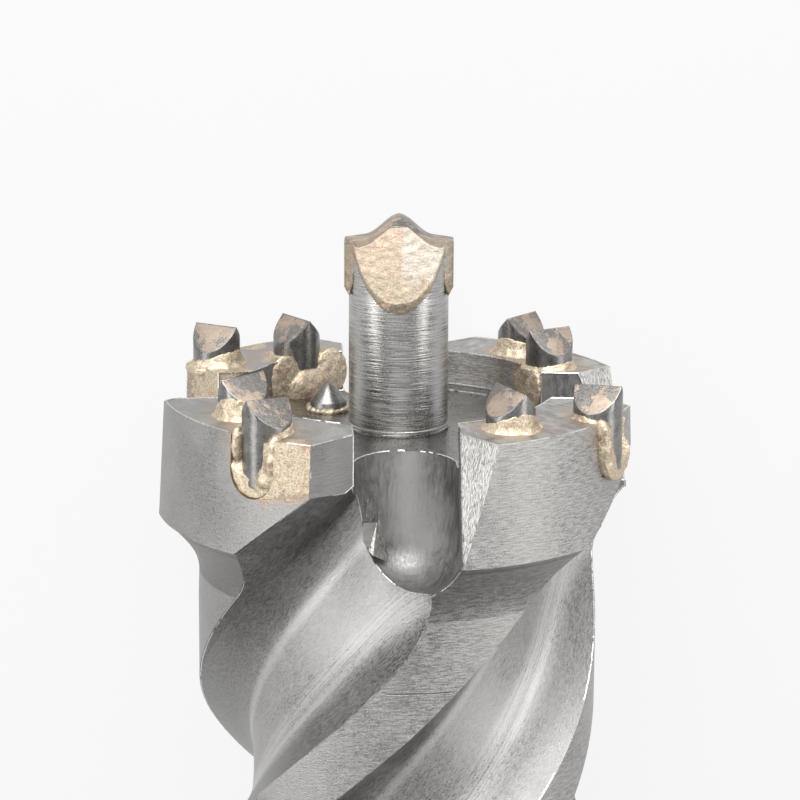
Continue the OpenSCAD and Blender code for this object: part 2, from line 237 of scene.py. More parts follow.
def bit_place(net):
    """Gives the upright place in millimetres and its distance, angle and depth."""
    here = net.node("ShaderNodeTexCoord", out=3)
    move, turn, size = LYING_TO_UPRIGHT.decompose()
    place = net.node("ShaderNodeMapping", Vector=here, Location=move, Rotation=turn.to_euler(), Scale=size)
    x, y, z = net.parts(place)
    distance = (x * x + y * y) ** 0.5
    angle = y.sum("ARCTAN2", x)
    return place, distance, angle, z * -1.0


def start_material(name):
    material = bpy.data.materials.new(name)
    material.use_nodes = True
    net = Net(material.node_tree)
    shader = material.node_tree.nodes["Principled BSDF"]
    return material, net, shader


def rgb(r, g, b):
    return (r, g, b, 1.0)


def dress(net, shader, colour, roughness, height, metallic=1.0, strength=1.0):
    """Feeds a metal's colour, roughness and relief. The relief's height is in millimetres."""
    net.feed(shader.inputs["Base Color"], colour)
    shader.inputs["Metallic"].default_value = metallic
    net.feed(shader.inputs["Roughness"], roughness)
    bump = net.node("ShaderNodeBump", Height=height * MM, Strength=strength, Distance=1.0)
    net.feed(shader.inputs["Normal"], bump)


print("upright coordinates ready")

# %% [markdown]
# The heat of the brazing left straw and copper tints round the studs, and some braze ran over the steel as
# a thin film. Both follow places on the crown, so the studs' places come before the finishes.

# %% Places of the studs and of the braze films
# Distance from the axis, angle, kind of seat, how much lower its ridge is ground, and the ridge's turn and
# slope
STUDS = {
    1: (31.3, -55.0, "closed", 0.2, 0, 4), 2: (37.0, -29.3, "outside", 1.4, 8, -2),
    3: (29.8, 30.5, "closed", 0.0, 0, 0), 4: (33.0, 50.0, "closed", 0.0, 0, 0),
    5: (28.6, 128.0, "inside", 0.0, 0, 0), 6: (35.2, 152.0, "closed", 0.0, 0, 0),
    7: (31.0, -144.0, "closed", 0.0, 0, 6), 8: (35.5, -125.8, "outside", 1.2, -18, -3),
}
STUD_R, STUD_HEIGHT, STUD_SEAT = 4.0, 6.4, 9.0
TWIST = 2 * math.pi / LEAD


def polar(distance, degrees):
    angle = math.radians(degrees)
    return distance * math.cos(angle), distance * math.sin(angle)


# Where braze spread over the steel as a film: a place and how far it reaches
FILMS = [
    (-17.0, -37.0, -4.0, 5.6), (-21.0, -34.5, -7.0, 3.6), (-31.5, 8.8, -2.5, 8.0), (-36.0, 9.5, -5.0, 6.0),
    (-16.5, 20.5, -4.0, 8.0), (22.5, 14.0, -3.5, 4.2), (-25.5, 29.0, -1.0, 3.0),
]


def nearness(net, place, spots):
    """Gives the smallest distance to any spot, as a share of that spot's reach."""
    nearest = None
    for *spot, reach in spots:
        gap = net.node("ShaderNodeVectorMath", {"operation": "DISTANCE"}, out=1, i0=place, i1=tuple(spot))
        share = gap / reach
        nearest = share if nearest is None else nearest.least(share)
    return nearest


def crest_spots():
    return [(*polar(row[0], row[1]), -1.0, 7.0) for row in STUDS.values()]


def film_colour(net, place, tone=1.0):
    """Gold with grains and copper where the braze is thin."""
    grain = net.noise(place, 2.6, 3.0, 0.7)
    fine = net.noise(place, 5.0, 2.0, 0.6)
    cloud = net.noise(place, 0.4, 3.0, 0.55)
    # A tone below 1 darkens the gold, as painted shade on the pilot's flats
    low, high = [tuple(v * tone for v in gold) for gold in ((0.33, 0.26, 0.18), (0.78, 0.68, 0.53))]
    gold = net.mix((grain.spread() + fine.spread(0.2)) * 0.5 + 0.5, rgb(*low), rgb(*high))
    copper = net.mix(fine.spread(0.2) + 0.5, rgb(0.32, 0.20, 0.145), rgb(0.68, 0.51, 0.40))
    return net.mix(cloud.ramp(0.56, 0.68), gold, copper), grain, fine


print("studs:", len(STUDS), "braze films:", len(FILMS))

# %% [markdown]
# The body's steel shows four finishes. Its outside was turned on a lathe and has fine rings. The flutes and
# the slot channels were milled, and their lines run along the cut. The corners of the sectors were ground
# by hand and have coarse bright scratches. All of it was blasted, so a fine grain lies over everything. One
# function makes them all from the direction of the machining lines. Small ones paint light and shade on top:
# painted shade, a painted highlight line and a painted sheen across the flutes, and painted shade on the
# turned steel's neck and left side.

# %% Steel finishes
# A line scribed round the body: its depth, the middle of its stretch as an angle, and half that stretch
SCRIBE_DEPTH, SCRIBE_ANGLE, SCRIBE_HALF = 42.5, -1.46, 0.17
# Where the near channel's wall is torn, and how far the torn skin reaches
TORN = (-5.2, -24.0, -15.5, 5.0)


def flute_painted_light(net, x, y, depth):
    """Painted light across a flute: painted shade on the ceiling, a painted highlight line beside it,
    a painted sheen crossed by milled score lines, and painted shade at its other edge.
    """
    pitch = 360.0 / STARTS
    turned = x.sum("ARCTAN2", y * -1.0) * (180 / math.pi) + (depth - FLUTE_END) * (360.0 / LEAD)
    across = (turned + pitch - LAND_ANGLE - EDGE_AT_END).sum("FLOORED_MODULO", pitch) / (pitch - LAND_ANGLE)
    scored = net.noise(net.vector(across * 70.0, depth * 0.03, 0.0), 1.0, 2.0, 0.5).spread()
    # ceiling and edge are painted shade, line is a painted highlight, sheen a painted sheen over the score
    # lines
    ceiling = across.ramp(0.32, 0.18) * 0.2
    line = across.ramp(0.18, 0.24) * across.ramp(0.31, 0.25) * 0.45
    sheen = across.ramp(0.58, 0.72) * across.ramp(0.83, 0.76) * (scored * 0.5 + 0.35)
    edge = across.ramp(0.80, 0.88) * 0.35
    return line + sheen - ceiling - edge


def ring_painted_shade(x, depth):
    """Painted shade on the turned steel: on the neck, which faces down, and on the crown's left side.
    Also a thin dark line just below the crown's lower rim.
    """
    low = CROWN_H + NECK_H
    # neck and the left side's share are painted shade
    neck = depth.ramp(CROWN_H + 0.1, CROWN_H + 0.3) * depth.ramp(low + 0.4, low)
    dark_line_under_rim = (depth - CROWN_H - 1.1).size().ramp(0.35, 0.2)
    return neck * 0.32 + dark_line_under_rim * 0.25 + x.ramp(-10.0, -17.0) * 0.13


def heated(net, place, colour, heat):
    """Tints the steel straw and copper near the studs."""
    warm = (nearness(net, place, crest_spots()) + net.noise(place, 0.4, 3.0, 0.6) - 0.5).ramp(1.25, 0.6)
    hue = net.noise(place, 0.42, 2.0, 0.5)
    tint = net.mix(hue.ramp(0.42, 0.58), rgb(0.44, 0.29, 0.22), rgb(0.52, 0.43, 0.28))
    return net.mix(warm * heat, colour, tint)


def filmed(net, place, colour, speck):
    """Lays the braze films over the steel, copper at their border. Also gives cover and relief."""
    ragged = (net.noise(place, 0.55, 4.0, 0.65) - 0.5) * 1.1 + speck.spread() * 0.08
    edge = nearness(net, place, FILMS) + ragged
    gold, grain, _ = film_colour(net, place)
    copper = net.mix(speck, rgb(0.34, 0.21, 0.16), rgb(0.60, 0.44, 0.34))
    covered = edge.ramp(0.93, 0.88)
    colour = net.mix(covered, net.mix(edge.ramp(1.12, 0.92) * 0.75, colour, copper), gold)
    return colour, covered, covered * (grain * 0.10 + 0.12)


def steel(name, lines, base, marked=0.5, relief=0.5, grainy=0.6, cloudy=0.5, rough=0.42, heat=0.0,
          film=False):
    """Makes one steel finish. lines picks the direction of its machining marks."""
    material, net, shader = start_material(name)
    place, distance, angle, depth = bit_place(net)
    x, y, z = net.parts(place)
    directions = {
        "rings": lambda: net.vector(angle * 24.0, depth * 4.4, distance * 0.4),
        "pilot": lambda: net.vector(angle * 1.6, depth * 4.6, 0.0),
        "flute": lambda: net.vector((angle + depth * TWIST) * 90.0, depth * 1.3, distance * 2.6),
        "ground": lambda: net.vector(x * 4.0, y * 4.0, z * 0.14),
        "channel": lambda: net.vector(angle * 36.0, depth * 0.3, distance * 1.2),
    }
    marks = net.noise(directions[lines](), 1.0, 1.0, 0.5)
    speck = net.noise(place, 4.0, 3.0, 0.8)
    cloud = net.noise(place, 0.11, 4.0, 0.65)
    pit = net.noise(place, 0.9, 3.0, 0.6).ramp(0.62, 0.72)
    strength = x.ramp(-14.0, 12.0, 0.25, 1.0) * marked if lines == "rings" else marked
    tone = marks.spread(0.22) * strength + speck.spread(0.2) * grainy + cloud.spread() * cloudy
    shade = (tone * 0.5 + 0.55 - pit * 0.08).most(0.0).least(1.0)
    # Painted light and shade across the flutes
    if lines == "flute":
        shade = (shade + flute_painted_light(net, x, y, depth)).most(0.0).least(1.0)
    elif lines == "channel":
        shade = (shade + x.ramp(-1.5, -4.0) * 0.3).least(1.0)
    # Painted shade on the neck and the crown's left side
    elif lines == "rings":
        shade = (shade - ring_painted_shade(x, depth)).most(0.0)
    dull = tuple(v * 0.45 for v in base)
    bright = tuple(min(0.95, v * 1.5) for v in base)
    colour = net.mix(shade, rgb(*dull), rgb(*bright))
    height = marks * 0.09 * relief + speck * (0.05 * grainy)
    roughness = speck.spread() * 0.22 + marks.spread() * 0.12 + cloud.spread() * 0.12 + rough
    if heat:
        colour = heated(net, place, colour, heat)
    if film:
        colour, covered, film_relief = filmed(net, place, colour, speck)
        height = height + film_relief
        roughness = roughness + covered * 0.06
    if lines == "rings":
        along = (angle - SCRIBE_ANGLE).size().ramp(SCRIBE_HALF, SCRIBE_HALF - 0.03)
        scribe = (depth - SCRIBE_DEPTH).size().ramp(0.16, 0.06) * along
        colour = net.mix(scribe * 0.7, colour, rgb(0.10, 0.10, 0.095))
        height = height - scribe * 0.1
    if lines == "channel":
        torn = nearness(net, place, [TORN]).ramp(1.0, 0.5)
        height = height + torn * net.noise(net.vector(x * 1.2, y * 1.2, z * 0.35), 1.0, 3.0, 0.7) * 0.5
    dress(net, shader, colour, roughness.most(0.14).least(0.9), height)
    return material


FINISH = {
    "turned": steel("turned_steel", "rings", (0.37, 0.361, 0.35), marked=0.9, relief=0.6, grainy=1.0,
                    cloudy=0.25, rough=0.46, heat=0.5, film=True),
    "flute": steel("milled_flute_steel", "flute", (0.35, 0.345, 0.338), marked=0.6, relief=0.4,
                   grainy=0.8, cloudy=0.25, rough=0.44),
    "channel": steel("milled_channel_steel", "channel", (0.22, 0.217, 0.21), marked=0.3, grainy=0.5,
                     rough=0.52, film=True),
    "ground": steel("hand_ground_steel", "ground", (0.50, 0.49, 0.47), marked=1.1, relief=0.8, grainy=0.6),
    "floor": steel("crown_floor_steel", "rings", (0.25, 0.24, 0.228), marked=0.3, grainy=0.5, rough=0.3,
                   heat=0.3),
    "bevel": steel("milled_bevel_steel", "rings", (0.27, 0.265, 0.258), marked=0.25, grainy=0.4,
                   cloudy=0.3, rough=0.46),
}
print("steel finishes:", ", ".join(FINISH))

# %% [markdown]
# Hard metal is darker and denser than steel. The studs' round sides are polished by stone, and their ground
# roofs keep patches of braze film with ragged borders. The braze itself is a pale gold cast skin, with
# copper where it ran thin.

# %% Hard metal, pilot steel and braze
# The pilot's flats face the lamp above, so their braze is painted darker: painted shade
PILOT_BRAZE_PAINTED_SHADE = 0.52


def stud_side():
    material, net, shader = start_material("polished_hard_metal")
    place, *_ = bit_place(net)
    speck = net.noise(place, 4.0, 3.0, 0.7)
    cloud = net.noise(place, 0.5, 3.0, 0.6)
    shade = speck.spread() * 0.15 + cloud.spread() * 0.4 + 0.5
    colour = net.mix(shade, rgb(0.13, 0.125, 0.12), rgb(0.32, 0.31, 0.30))
    dress(net, shader, colour, speck.spread() * 0.15 + 0.34, speck * 0.02, strength=0.8)
    return material


def stud_roof():
    material, net, shader = start_material("ground_hard_metal")
    place, *_ = bit_place(net)
    speck = net.noise(place, 3.5, 3.0, 0.7)
    border = net.noise(place, 0.24, 4.0, 0.6) + speck.spread() * 0.03
    patch = border.ramp(0.45, 0.55)
    steel_tone = net.mix(speck.spread() + 0.5, rgb(0.16, 0.15, 0.14), rgb(0.26, 0.25, 0.235))
    hue = net.noise(place, 0.5, 2.0, 0.5).ramp(0.44, 0.56)
    film = net.mix(hue, rgb(0.31, 0.235, 0.195), rgb(0.40, 0.32, 0.25))
    film = net.mix(speck.spread(0.2) * 0.6 + 0.3, film, rgb(0.52, 0.43, 0.34))
    colour = net.mix(patch * 0.85, steel_tone, film)
    roughness = patch * 0.12 + speck.spread() * 0.2 + 0.4
    dress(net, shader, colour, roughness, speck * 0.04 + patch * 0.06, metallic=0.85, strength=0.9)
    return material


def braze(name, on_pilot=False):
    """Frozen braze. On the pilot's flats it is painted darker, as painted shade, and its upper part is
    brownish on the left and greyish on the right.
    """
    material, net, shader = start_material(name)
    place, *_ = bit_place(net)
    # On the pilot's flats the gold is darkened, as painted shade
    colour, grain, fine = film_colour(net, place, PILOT_BRAZE_PAINTED_SHADE if on_pilot else 1.0)
    if on_pilot:
        x, _, z = net.parts(place)
        border = z + (net.noise(place, 0.35, 3.0, 0.6) - 0.5) * 9.0
        upper = border.ramp(18.5, 20.5) * x.ramp(9.0, 8.0) * x.ramp(-9.0, -8.0)
        left = net.mix(fine, rgb(0.26, 0.19, 0.145), rgb(0.42, 0.34, 0.27))
        right = net.mix(fine, rgb(0.32, 0.29, 0.25), rgb(0.48, 0.45, 0.41))
        tint = net.mix(x.ramp(0.2, 1.0), left, right)
        colour = net.mix(upper * 0.6, colour, tint)
    dress(net, shader, colour, grain.spread() * 0.2 + 0.5, grain * 0.08 + fine * 0.04, metallic=0.9)
    return material


FINISH["seat"] = steel("braze_wetted_steel", "channel", (0.26, 0.22, 0.17), marked=0.2, heat=0.8)
FINISH["turned_pilot"] = steel("turned_pilot_steel", "pilot", (0.41, 0.405, 0.395), marked=0.9, relief=0.9,
                               grainy=0.4, cloudy=0.15, rough=0.34)
# The burr's lighter steel is a painted highlight on the sharp edges
FINISH["burr"] = steel("burr_with_painted_highlight", "ground", (0.62, 0.61, 0.59), marked=0.3, rough=0.3)
FINISH["stud_side"] = stud_side()
FINISH["stud_roof"] = stud_roof()
FINISH["braze"] = braze("frozen_braze")
FINISH["pilot_braze"] = braze("pilot_braze", on_pilot=True)
print("finishes:", ", ".join(FINISH))

# %% [markdown]
# The body starts as a turned blank, drawn as half an outline and spun round the axis, as a lathe would
# leave it. Everything else is cut out of it with tools of the same form as the real cutters, so each cut
# surface keeps the material of the tool that cut it.

# %% Turned blanks
def new_object(name, mesh, material=None):
    made = bpy.data.objects.new(name, mesh)
    bpy.context.scene.collection.objects.link(made)
    if material:
        mesh.materials.append(material)
    return made


@contextmanager
def edited(mesh):
    """Opens a mesh for editing and writes the change back."""
    work = bmesh.new()
    work.from_mesh(mesh)
    yield work
    work.to_mesh(mesh)
    work.free()


def face_outwards(made):
    """Turns a closed mesh right side out."""
    with edited(made.data) as work:
        bmesh.ops.recalc_face_normals(work, faces=work.faces)
        if work.calc_volume(signed=True) < 0:
            bmesh.ops.reverse_faces(work, faces=work.faces)
    return made


def solid(name, vertices, faces, material):
    """Makes a closed object whose faces look outwards."""
    mesh = bpy.data.meshes.new(name)
    mesh.from_pydata(vertices, [], faces)
    return face_outwards(new_object(name, mesh, material))


def revolve(name, outline, segments, material):
    """Spins an outline of (distance, height) pairs, which starts and ends on the axis."""
    rings = []
    vertices = []
    for distance, height in outline:
        if distance == 0:
            rings.append([len(vertices)] * segments)
            vertices.append((0, 0, height))
            continue
        rings.append([len(vertices) + k for k in range(segments)])
        for k in range(segments):
            a = 2 * math.pi * k / segments
            vertices.append((distance * math.cos(a), distance * math.sin(a), height))
    faces = []
    for upper, lower in zip(rings, rings[1:]):
        for k in range(segments):
            j = (k + 1) % segments
            corners = [upper[k], lower[k], lower[j], upper[j]]
            kept = [c for n, c in enumerate(corners) if c not in corners[:n]]
            if len(kept) > 2:
                faces.append(kept)
    return solid(name, vertices, faces, material)


# How far the crown's lower rim stands out over the neck, and the height of that rim
NECK_STEP, RIM_H = 0.6, 0.3
# The fine groove turned at the foot of the cavity's wall: steps outwards and up from the corner
FLOOR_GROOVE = [(-0.9, 0.0), (-0.3, -0.5), (0.5, -0.3), (0.45, 0.6), (0.0, 1.0)]
NECK_STEPS, RUNOUT_STEPS, WALL_START, WALL_STEP = 24, 13, 36, 2


def crown_outline():
    neck_rise = CROWN_R - BODY_R - NECK_STEP
    crest = [(0, -CAVITY_DEPTH), (PILOT_R + 1.0, -CAVITY_DEPTH)]
    crest += [(CAVITY_R + out, up - CAVITY_DEPTH) for out, up in FLOOR_GROOVE]
    crest += [(CAVITY_R, 0), (CREST_R, -CREST_FALL), (CROWN_R, -CROWN_H)]
    neck = []
    for step in range(NECK_STEPS + 1):
        share = step / NECK_STEPS
        rise = neck_rise * (1 - math.sin(share * math.pi / 2))
        neck.append((BODY_R + rise, -CROWN_H - NECK_H + (NECK_H - RIM_H) * (1 - share)))
    walls = [(BODY_R, -h) for h in range(WALL_START, int(SPIRAL_END) + 1, WALL_STEP)]
    shares = [k / RUNOUT_STEPS for k in range(1, RUNOUT_STEPS + 1)]
    runout = [(BODY_R * (1 + (END_SCALE - 1) * share), -SPIRAL_END - RUNOUT_H * share) for share in shares]
    return crest + neck + walls + runout + [(0, runout[-1][1])]


body = revolve("steel_body", crown_outline(), 192, FINISH["turned"])
print("blank faces:", len(body.data.polygons))

# %% [markdown]
# A milled flute is the same cross-section carried down the bit while it turns. Geometry Nodes make it as a
# rule. A plain tube gets one vertex for each point of the section in every ring. Each vertex looks up its
# own point of the section, and its height says how far the flute has turned there and where its two edges
# lie. Near the crown the edge beside the slot stands upright: a curve holds that bend, and the other edge
# widens evenly.

# %% The flute cutter as a node tree
SECTION = [
    (0.00, 1.00), (0.02, 0.83), (0.05, 0.60), (0.08, 0.425), (0.11, 0.29), (0.15, 0.175), (0.19, 0.09),
    (0.24, 0.035), (0.30, 0.01), (0.38, 0.0), (0.46, 0.00), (0.54, 0.012), (0.62, 0.04), (0.69, 0.093),
    (0.75, 0.17), (0.80, 0.26), (0.85, 0.38), (0.89, 0.505), (0.93, 0.65), (0.97, 0.825), (1.00, 1.00),
]
EDGE_BEND = [
    (6.5, -1.0), (17.0, -1.0), (20.0, 1.0), (22.2, 5.0), (24.5, 8.0), (27.2, 9.3), (30.2, 8.6), (33.2, 6.6),
    (36.0, 3.8), (38.5, 0.6), (41.2, -3.6), (44.0, -8.0), (47.0, -12.9), (50.0, -18.1),
]
CEILING_WIDENING = 5.5
FLARE = 10.0
FLUTE_RINGS = 300


def start_tree(name, sizes, counts=None, source=None):
    """Starts a Geometry Nodes tree. Gives its small language and its inputs by name."""
    tree = bpy.data.node_groups.new(name, "GeometryNodeTree")
    inputs = [(source, "Geometry", None)] if source else []
    inputs += [(label, "Float", value) for label, value in sizes.items()]
    inputs += [(label, "Int", value) for label, value in (counts or {}).items()]
    for label, kind, value in inputs + [("Finish", "Material", None)]:
        made = tree.interface.new_socket(label, in_out="INPUT", socket_type="NodeSocket" + kind)
        if value is not None:
            made.default_value = value
    tree.interface.new_socket("Made", in_out="OUTPUT", socket_type="NodeSocketGeometry")
    net = Net(tree)
    given = tree.nodes.new("NodeGroupInput")
    return net, {output.name: Term(net, output) for output in given.outputs if output.name}


def end_tree(net, geometry, finish):
    """Makes instances real, gives them their finish and leads them out of the tree."""
    real = net.node("GeometryNodeRealizeInstances", Geometry=geometry)
    finished = net.node("GeometryNodeSetMaterial", Geometry=real, Material=finish)
    out = net.tree.nodes.new("NodeGroupOutput")
    net.tree.links.new(finished.socket, out.inputs[0])
    return net.tree


def section_mesh():
    """Holds the section's points as (share across the flute, share of the rib's height)."""
    beyond = (CROWN_R + 4 - CORE_R) / (BODY_R - CORE_R)
    points = [(-0.001, beyond)] + SECTION + [(1.0, beyond), (0.5, beyond * 1.3)]
    mesh = bpy.data.meshes.new("flute_section")
    mesh.from_pydata([(u, share, 0) for u, share in points], [], [])
    return mesh


def flute_tree():
    sizes = {
        "Core radius": CORE_R, "Body radius": BODY_R, "Lead": LEAD, "Land angle": LAND_ANGLE,
        "Top": FLUTE_TOP, "Spiral start": FLUTE_END, "Spiral end": SPIRAL_END, "Run-out": RUNOUT_H,
        "End scale": END_SCALE,
    }
    net, size = start_tree("flute_cutter", sizes, {"Rings": FLUTE_RINGS, "Flutes": STARTS}, "Section")
    points = net.node("GeometryNodeAttributeDomainSize", {"component": "MESH"}, Geometry=size["Section"])
    tube = net.node("GeometryNodeMeshCylinder", {"fill_type": "NGON"}, Vertices=points,
                    Side_Segments=size["Rings"], Radius=1.0, Depth=1.0)
    index = net.node("GeometryNodeInputIndex")
    place = net.node("GeometryNodeInputPosition")
    own = net.node("GeometryNodeSampleIndex", {"data_type": "FLOAT_VECTOR", "domain": "POINT"},
                   Geometry=size["Section"], Value=place, Index=index.sum("FLOORED_MODULO", points))
    across, share, _ = net.parts(own)
    _, _, z = net.parts(place)
    bottom = size["Spiral end"] + size["Run-out"] + 1.0
    depth = size["Top"] + (0.5 - z) * (bottom - size["Top"])

    turned = (depth - size["Spiral start"]) * (-360.0 / size["Lead"]) + EDGE_AT_END
    bend_span = FLUTE_END - FLUTE_TOP
    bend = net.node("ShaderNodeFloatCurve", Value=(depth - FLUTE_TOP) / bend_span)
    low, high = EDGE_AT_END, 10.0
    curve = bend.socket.node.mapping.curves[0]
    while len(curve.points) > 2:
        curve.points.remove(curve.points[1])
    spots = [((h - FLUTE_TOP) / bend_span, (a - low) / (high - low)) for h, a in EDGE_BEND]
    curve.points[0].location = spots[0]
    curve.points[1].location = spots[-1]
    for spot in spots[1:-1]:
        curve.points.new(*spot)
    bend.socket.node.mapping.update()
    near_crown = depth.sum("LESS_THAN", size["Spiral start"])
    edge = turned + near_crown * (bend * (high - low) + low - turned)
    widening = near_crown * ((size["Spiral start"] - depth) * (CEILING_WIDENING / bend_span))
    ceiling = turned - (360.0 / STARTS - size["Land angle"]) - widening
    outside = (share - 1.0).most(0.0).least(0.001) * 1000.0
    left_side = (0.25 - across).most(0.0).least(0.001) * 1000.0
    flare = outside * left_side * FLARE
    degrees = ceiling + across * (edge - ceiling) - flare
    ended = (depth - size["Spiral end"]) / size["Run-out"]
    scale = 1.0 + ended.most(0.0) * (size["End scale"] - 1.0)
    distance = (size["Core radius"] + (size["Body radius"] - size["Core radius"]) * share) * scale
    radians = degrees * (math.pi / 180)
    wrapped = net.vector(distance * radians.sine(), distance * radians.sum("COSINE") * -1.0, depth * -1.0)
    moved = net.node("GeometryNodeSetPosition", Geometry=tube, Position=wrapped)

    ring = net.node("GeometryNodeMeshLine", {"mode": "OFFSET"}, Count=size["Flutes"], Offset=(0, 0, 0))
    turn = net.vector(0.0, 0.0, index * (2 * math.pi / STARTS))
    copies = net.node("GeometryNodeInstanceOnPoints", Points=ring, Instance=moved,
                      Rotation=net.node("FunctionNodeEulerToRotation", Euler=turn))
    return end_tree(net, copies, size["Finish"])


def baked(made):
    """Gives an object's mesh as its modifiers leave it."""
    view = bpy.context.evaluated_depsgraph_get()
    view.update()
    return bpy.data.meshes.new_from_object(made.evaluated_get(view))


def run_tree(made, tree, values):
    """Runs a node tree on an object and gives its result as a plain mesh on a new object."""
    modifier = made.modifiers.new(tree.name, "NODES")
    modifier.node_group = tree
    names = {item.name: item.identifier for item in tree.interface.items_tree if item.in_out == "INPUT"}
    for name, value in values.items():
        modifier[names[name]] = value
    mesh = baked(made)
    mesh.name = tree.name
    made.modifiers.remove(modifier)
    return new_object(tree.name, mesh)


def drop(made):
    bpy.data.objects.remove(made, do_unlink=True)


seed_object = new_object("flute_section", section_mesh())
flutes = run_tree(seed_object, flute_tree(), {"Finish": FINISH["flute"]})
drop(seed_object)
face_outwards(flutes)
print("flute cutter faces:", len(flutes.data.polygons))

# %% [markdown]
# A slot is cut by a ball-nosed tool that comes in from the outside and leans as it goes down. What such a
# tool clears is a plate as thick as the tool with a full round edge, so the cutter is made as a stack of
# slices, each one the tool's path pushed out by the ball's width at that slice.

# %% The slot cutter
# Turn of each slot from the viewer's side, the widths of the bevels before and after it, and the first
# one's finish
SLOTS = [
    (2.7, 7.5, 5.6, "bevel"), (92.7, 4.9, 5.6, "bevel"), (182.7, 7.5, 5.6, "bevel"),
    (269.0, 7.5, 1.7, "turned"),
]
BEVEL_SLOPE, BEVEL_DEPTH = 0.83, 15.2


def slot_slice(x, push, height=34.0, reach=40.0, steps=14):
    """One slice of the slot: the tool's path at this x, pushed out by the ball."""
    drop_h = CHANNEL_DEPTH - CAVITY_DEPTH
    centre = (CHANNEL_R + drop_h * math.tan(CHANNEL_LEAN), -CHANNEL_DEPTH)
    first, last = math.pi + CHANNEL_LEAN, 1.5 * math.pi
    top = (centre[0] - height * math.tan(CHANNEL_LEAN), centre[1] + height)
    points = [(top[0] + push * math.cos(first), top[1] + push * math.sin(first))]
    for step in range(steps + 1):
        a = first + (last - first) * step / steps
        points.append((centre[0] + push * math.cos(a), centre[1] + push * math.sin(a)))
    points.append((centre[0] + reach, centre[1] - push))
    points.append((centre[0] + reach, centre[1] + height))
    return [(x, -outward, z) for outward, z in points]


def loft(name, rings, material):
    """Joins closed rings of equal count into one closed solid."""
    count = len(rings[0])
    vertices = [point for ring in rings for point in ring]
    faces = [list(range(count)), list(range((len(rings) - 1) * count, len(rings) * count))]
    for k in range(len(rings) - 1):
        for j in range(count):
            n = (j + 1) % count
            faces.append([k * count + j, (k + 1) * count + j, (k + 1) * count + n, k * count + n])
    return solid(name, vertices, faces, material)


def slot_cutter(steps=36):
    slices = []
    for step in range(steps + 1):
        a = math.radians(-90 + 180 * step / steps)
        slices.append(slot_slice(SLOT_R * math.sin(a), max(0.02, SLOT_R * math.cos(a))))
    return loft("slot_cutter", slices, FINISH["channel"])


def bevel_cutter(width, finish):
    """Takes off the sector's corner before the slot, straight down."""
    x = -SLOT_R + 0.05
    y = -(math.sqrt(CROWN_R ** 2 - (SLOT_R + width) ** 2) - width * BEVEL_SLOPE)
    far = width * 2
    outline = [(x, y), (x - far, y - far * BEVEL_SLOPE), (x - far, y - 40), (x, y - 40)]
    rings = [[(px, py, h) for px, py in outline] for h in (-BEVEL_DEPTH, 5.0)]
    return loft("bevel_cutter", rings, FINISH[finish])


def rake_cutter(width):
    """Takes off the sector's corner after the slot, to nothing at the crown's lower rim."""
    x, side, lift = SLOT_R - 0.05, 24.0, 5.0
    rim = math.sqrt(CROWN_R ** 2 - SLOT_R ** 2)
    crest = rim - width * 1.5
    inner = crest - lift * (rim - crest) / CROWN_H
    corners = [(x, -inner, lift), (x + side, -inner - side, lift), (x, -rim, -CROWN_H), (x, -60.0, lift)]
    return solid("rake_cutter", corners, [(0, 1, 3), (0, 3, 2), (0, 2, 1), (1, 2, 3)], FINISH["ground"])


def cut(target, cutter, operation="DIFFERENCE"):
    """Cuts, joins or keeps with one closed solid, and drops the cutter."""
    modifier = target.modifiers.new("cut", "BOOLEAN")
    modifier.operation = operation
    modifier.solver = "EXACT"
    modifier.material_mode = "TRANSFER"
    modifier.object = cutter
    mesh = baked(target)
    target.modifiers.remove(modifier)
    old = target.data
    target.data = mesh
    bpy.data.meshes.remove(old)
    drop(cutter)
    return target


def turn_mesh(made, degrees):
    made.data.transform(Matrix.Rotation(math.radians(degrees), 4, "Z"))
    return made


cut(body, flutes)
print("flutes cut:", len(body.data.polygons))
for degrees, before, after, finish in SLOTS:
    for cutter in (slot_cutter(), bevel_cutter(before, finish), rake_cutter(after)):
        cut(body, turn_mesh(cutter, degrees))
print("slots cut:", len(body.data.polygons))

# %% [markdown]
# Below the spiral the body runs out in a cone to a plain shaft and a grooved shank. The photograph doesn't
# show them, so they are finished plainly: three driving grooves that run out of the end and two closed
# locking grooves.

# %% Shaft and shank
# How far the shaft reaches into the spiral, the steps along it, the cone above the shank and the end's
# chamfer
SHAFT_OVERLAP, SHAFT_STEP, SHAFT_STEPS, CONE_H, END_CHAMFER = 4, 8, 23, 14, (1, 2)
GROOVE_DEPTH = 2.6
# Width, length, start above the end, whether it is closed at both ends, and the angles round the shank
GROOVES = [(5, 46, 0, False, (180, 300, 420)), (6, 30, 16, True, (60, 240))]


def groove(width, length, start, closed, steps=10, sides=32):
    """A round bar with ball ends that sinks in the shank's side. An open one runs out of the shank's end."""
    r = width / 2
    foot = start - BOTTOM
    quarter = [math.pi / 2 * step / steps for step in range(steps + 1)]
    rows = [(foot + r - r * math.cos(a), r * math.sin(a)) for a in quarter] if closed else [(foot - 1, r)]
    rows += [(foot + length - r + r * math.sin(a), r * math.cos(a)) for a in quarter]
    turns = [2 * math.pi * k / sides for k in range(sides)]
    y = GROOVE_DEPTH - SHANK_R - r
    rings = []
    for z, radius in rows:
        radius = max(radius, 0.02)
        rings.append([(radius * math.cos(a), y + radius * math.sin(a), z) for a in turns])
    return loft("groove", rings, FINISH["turned"])


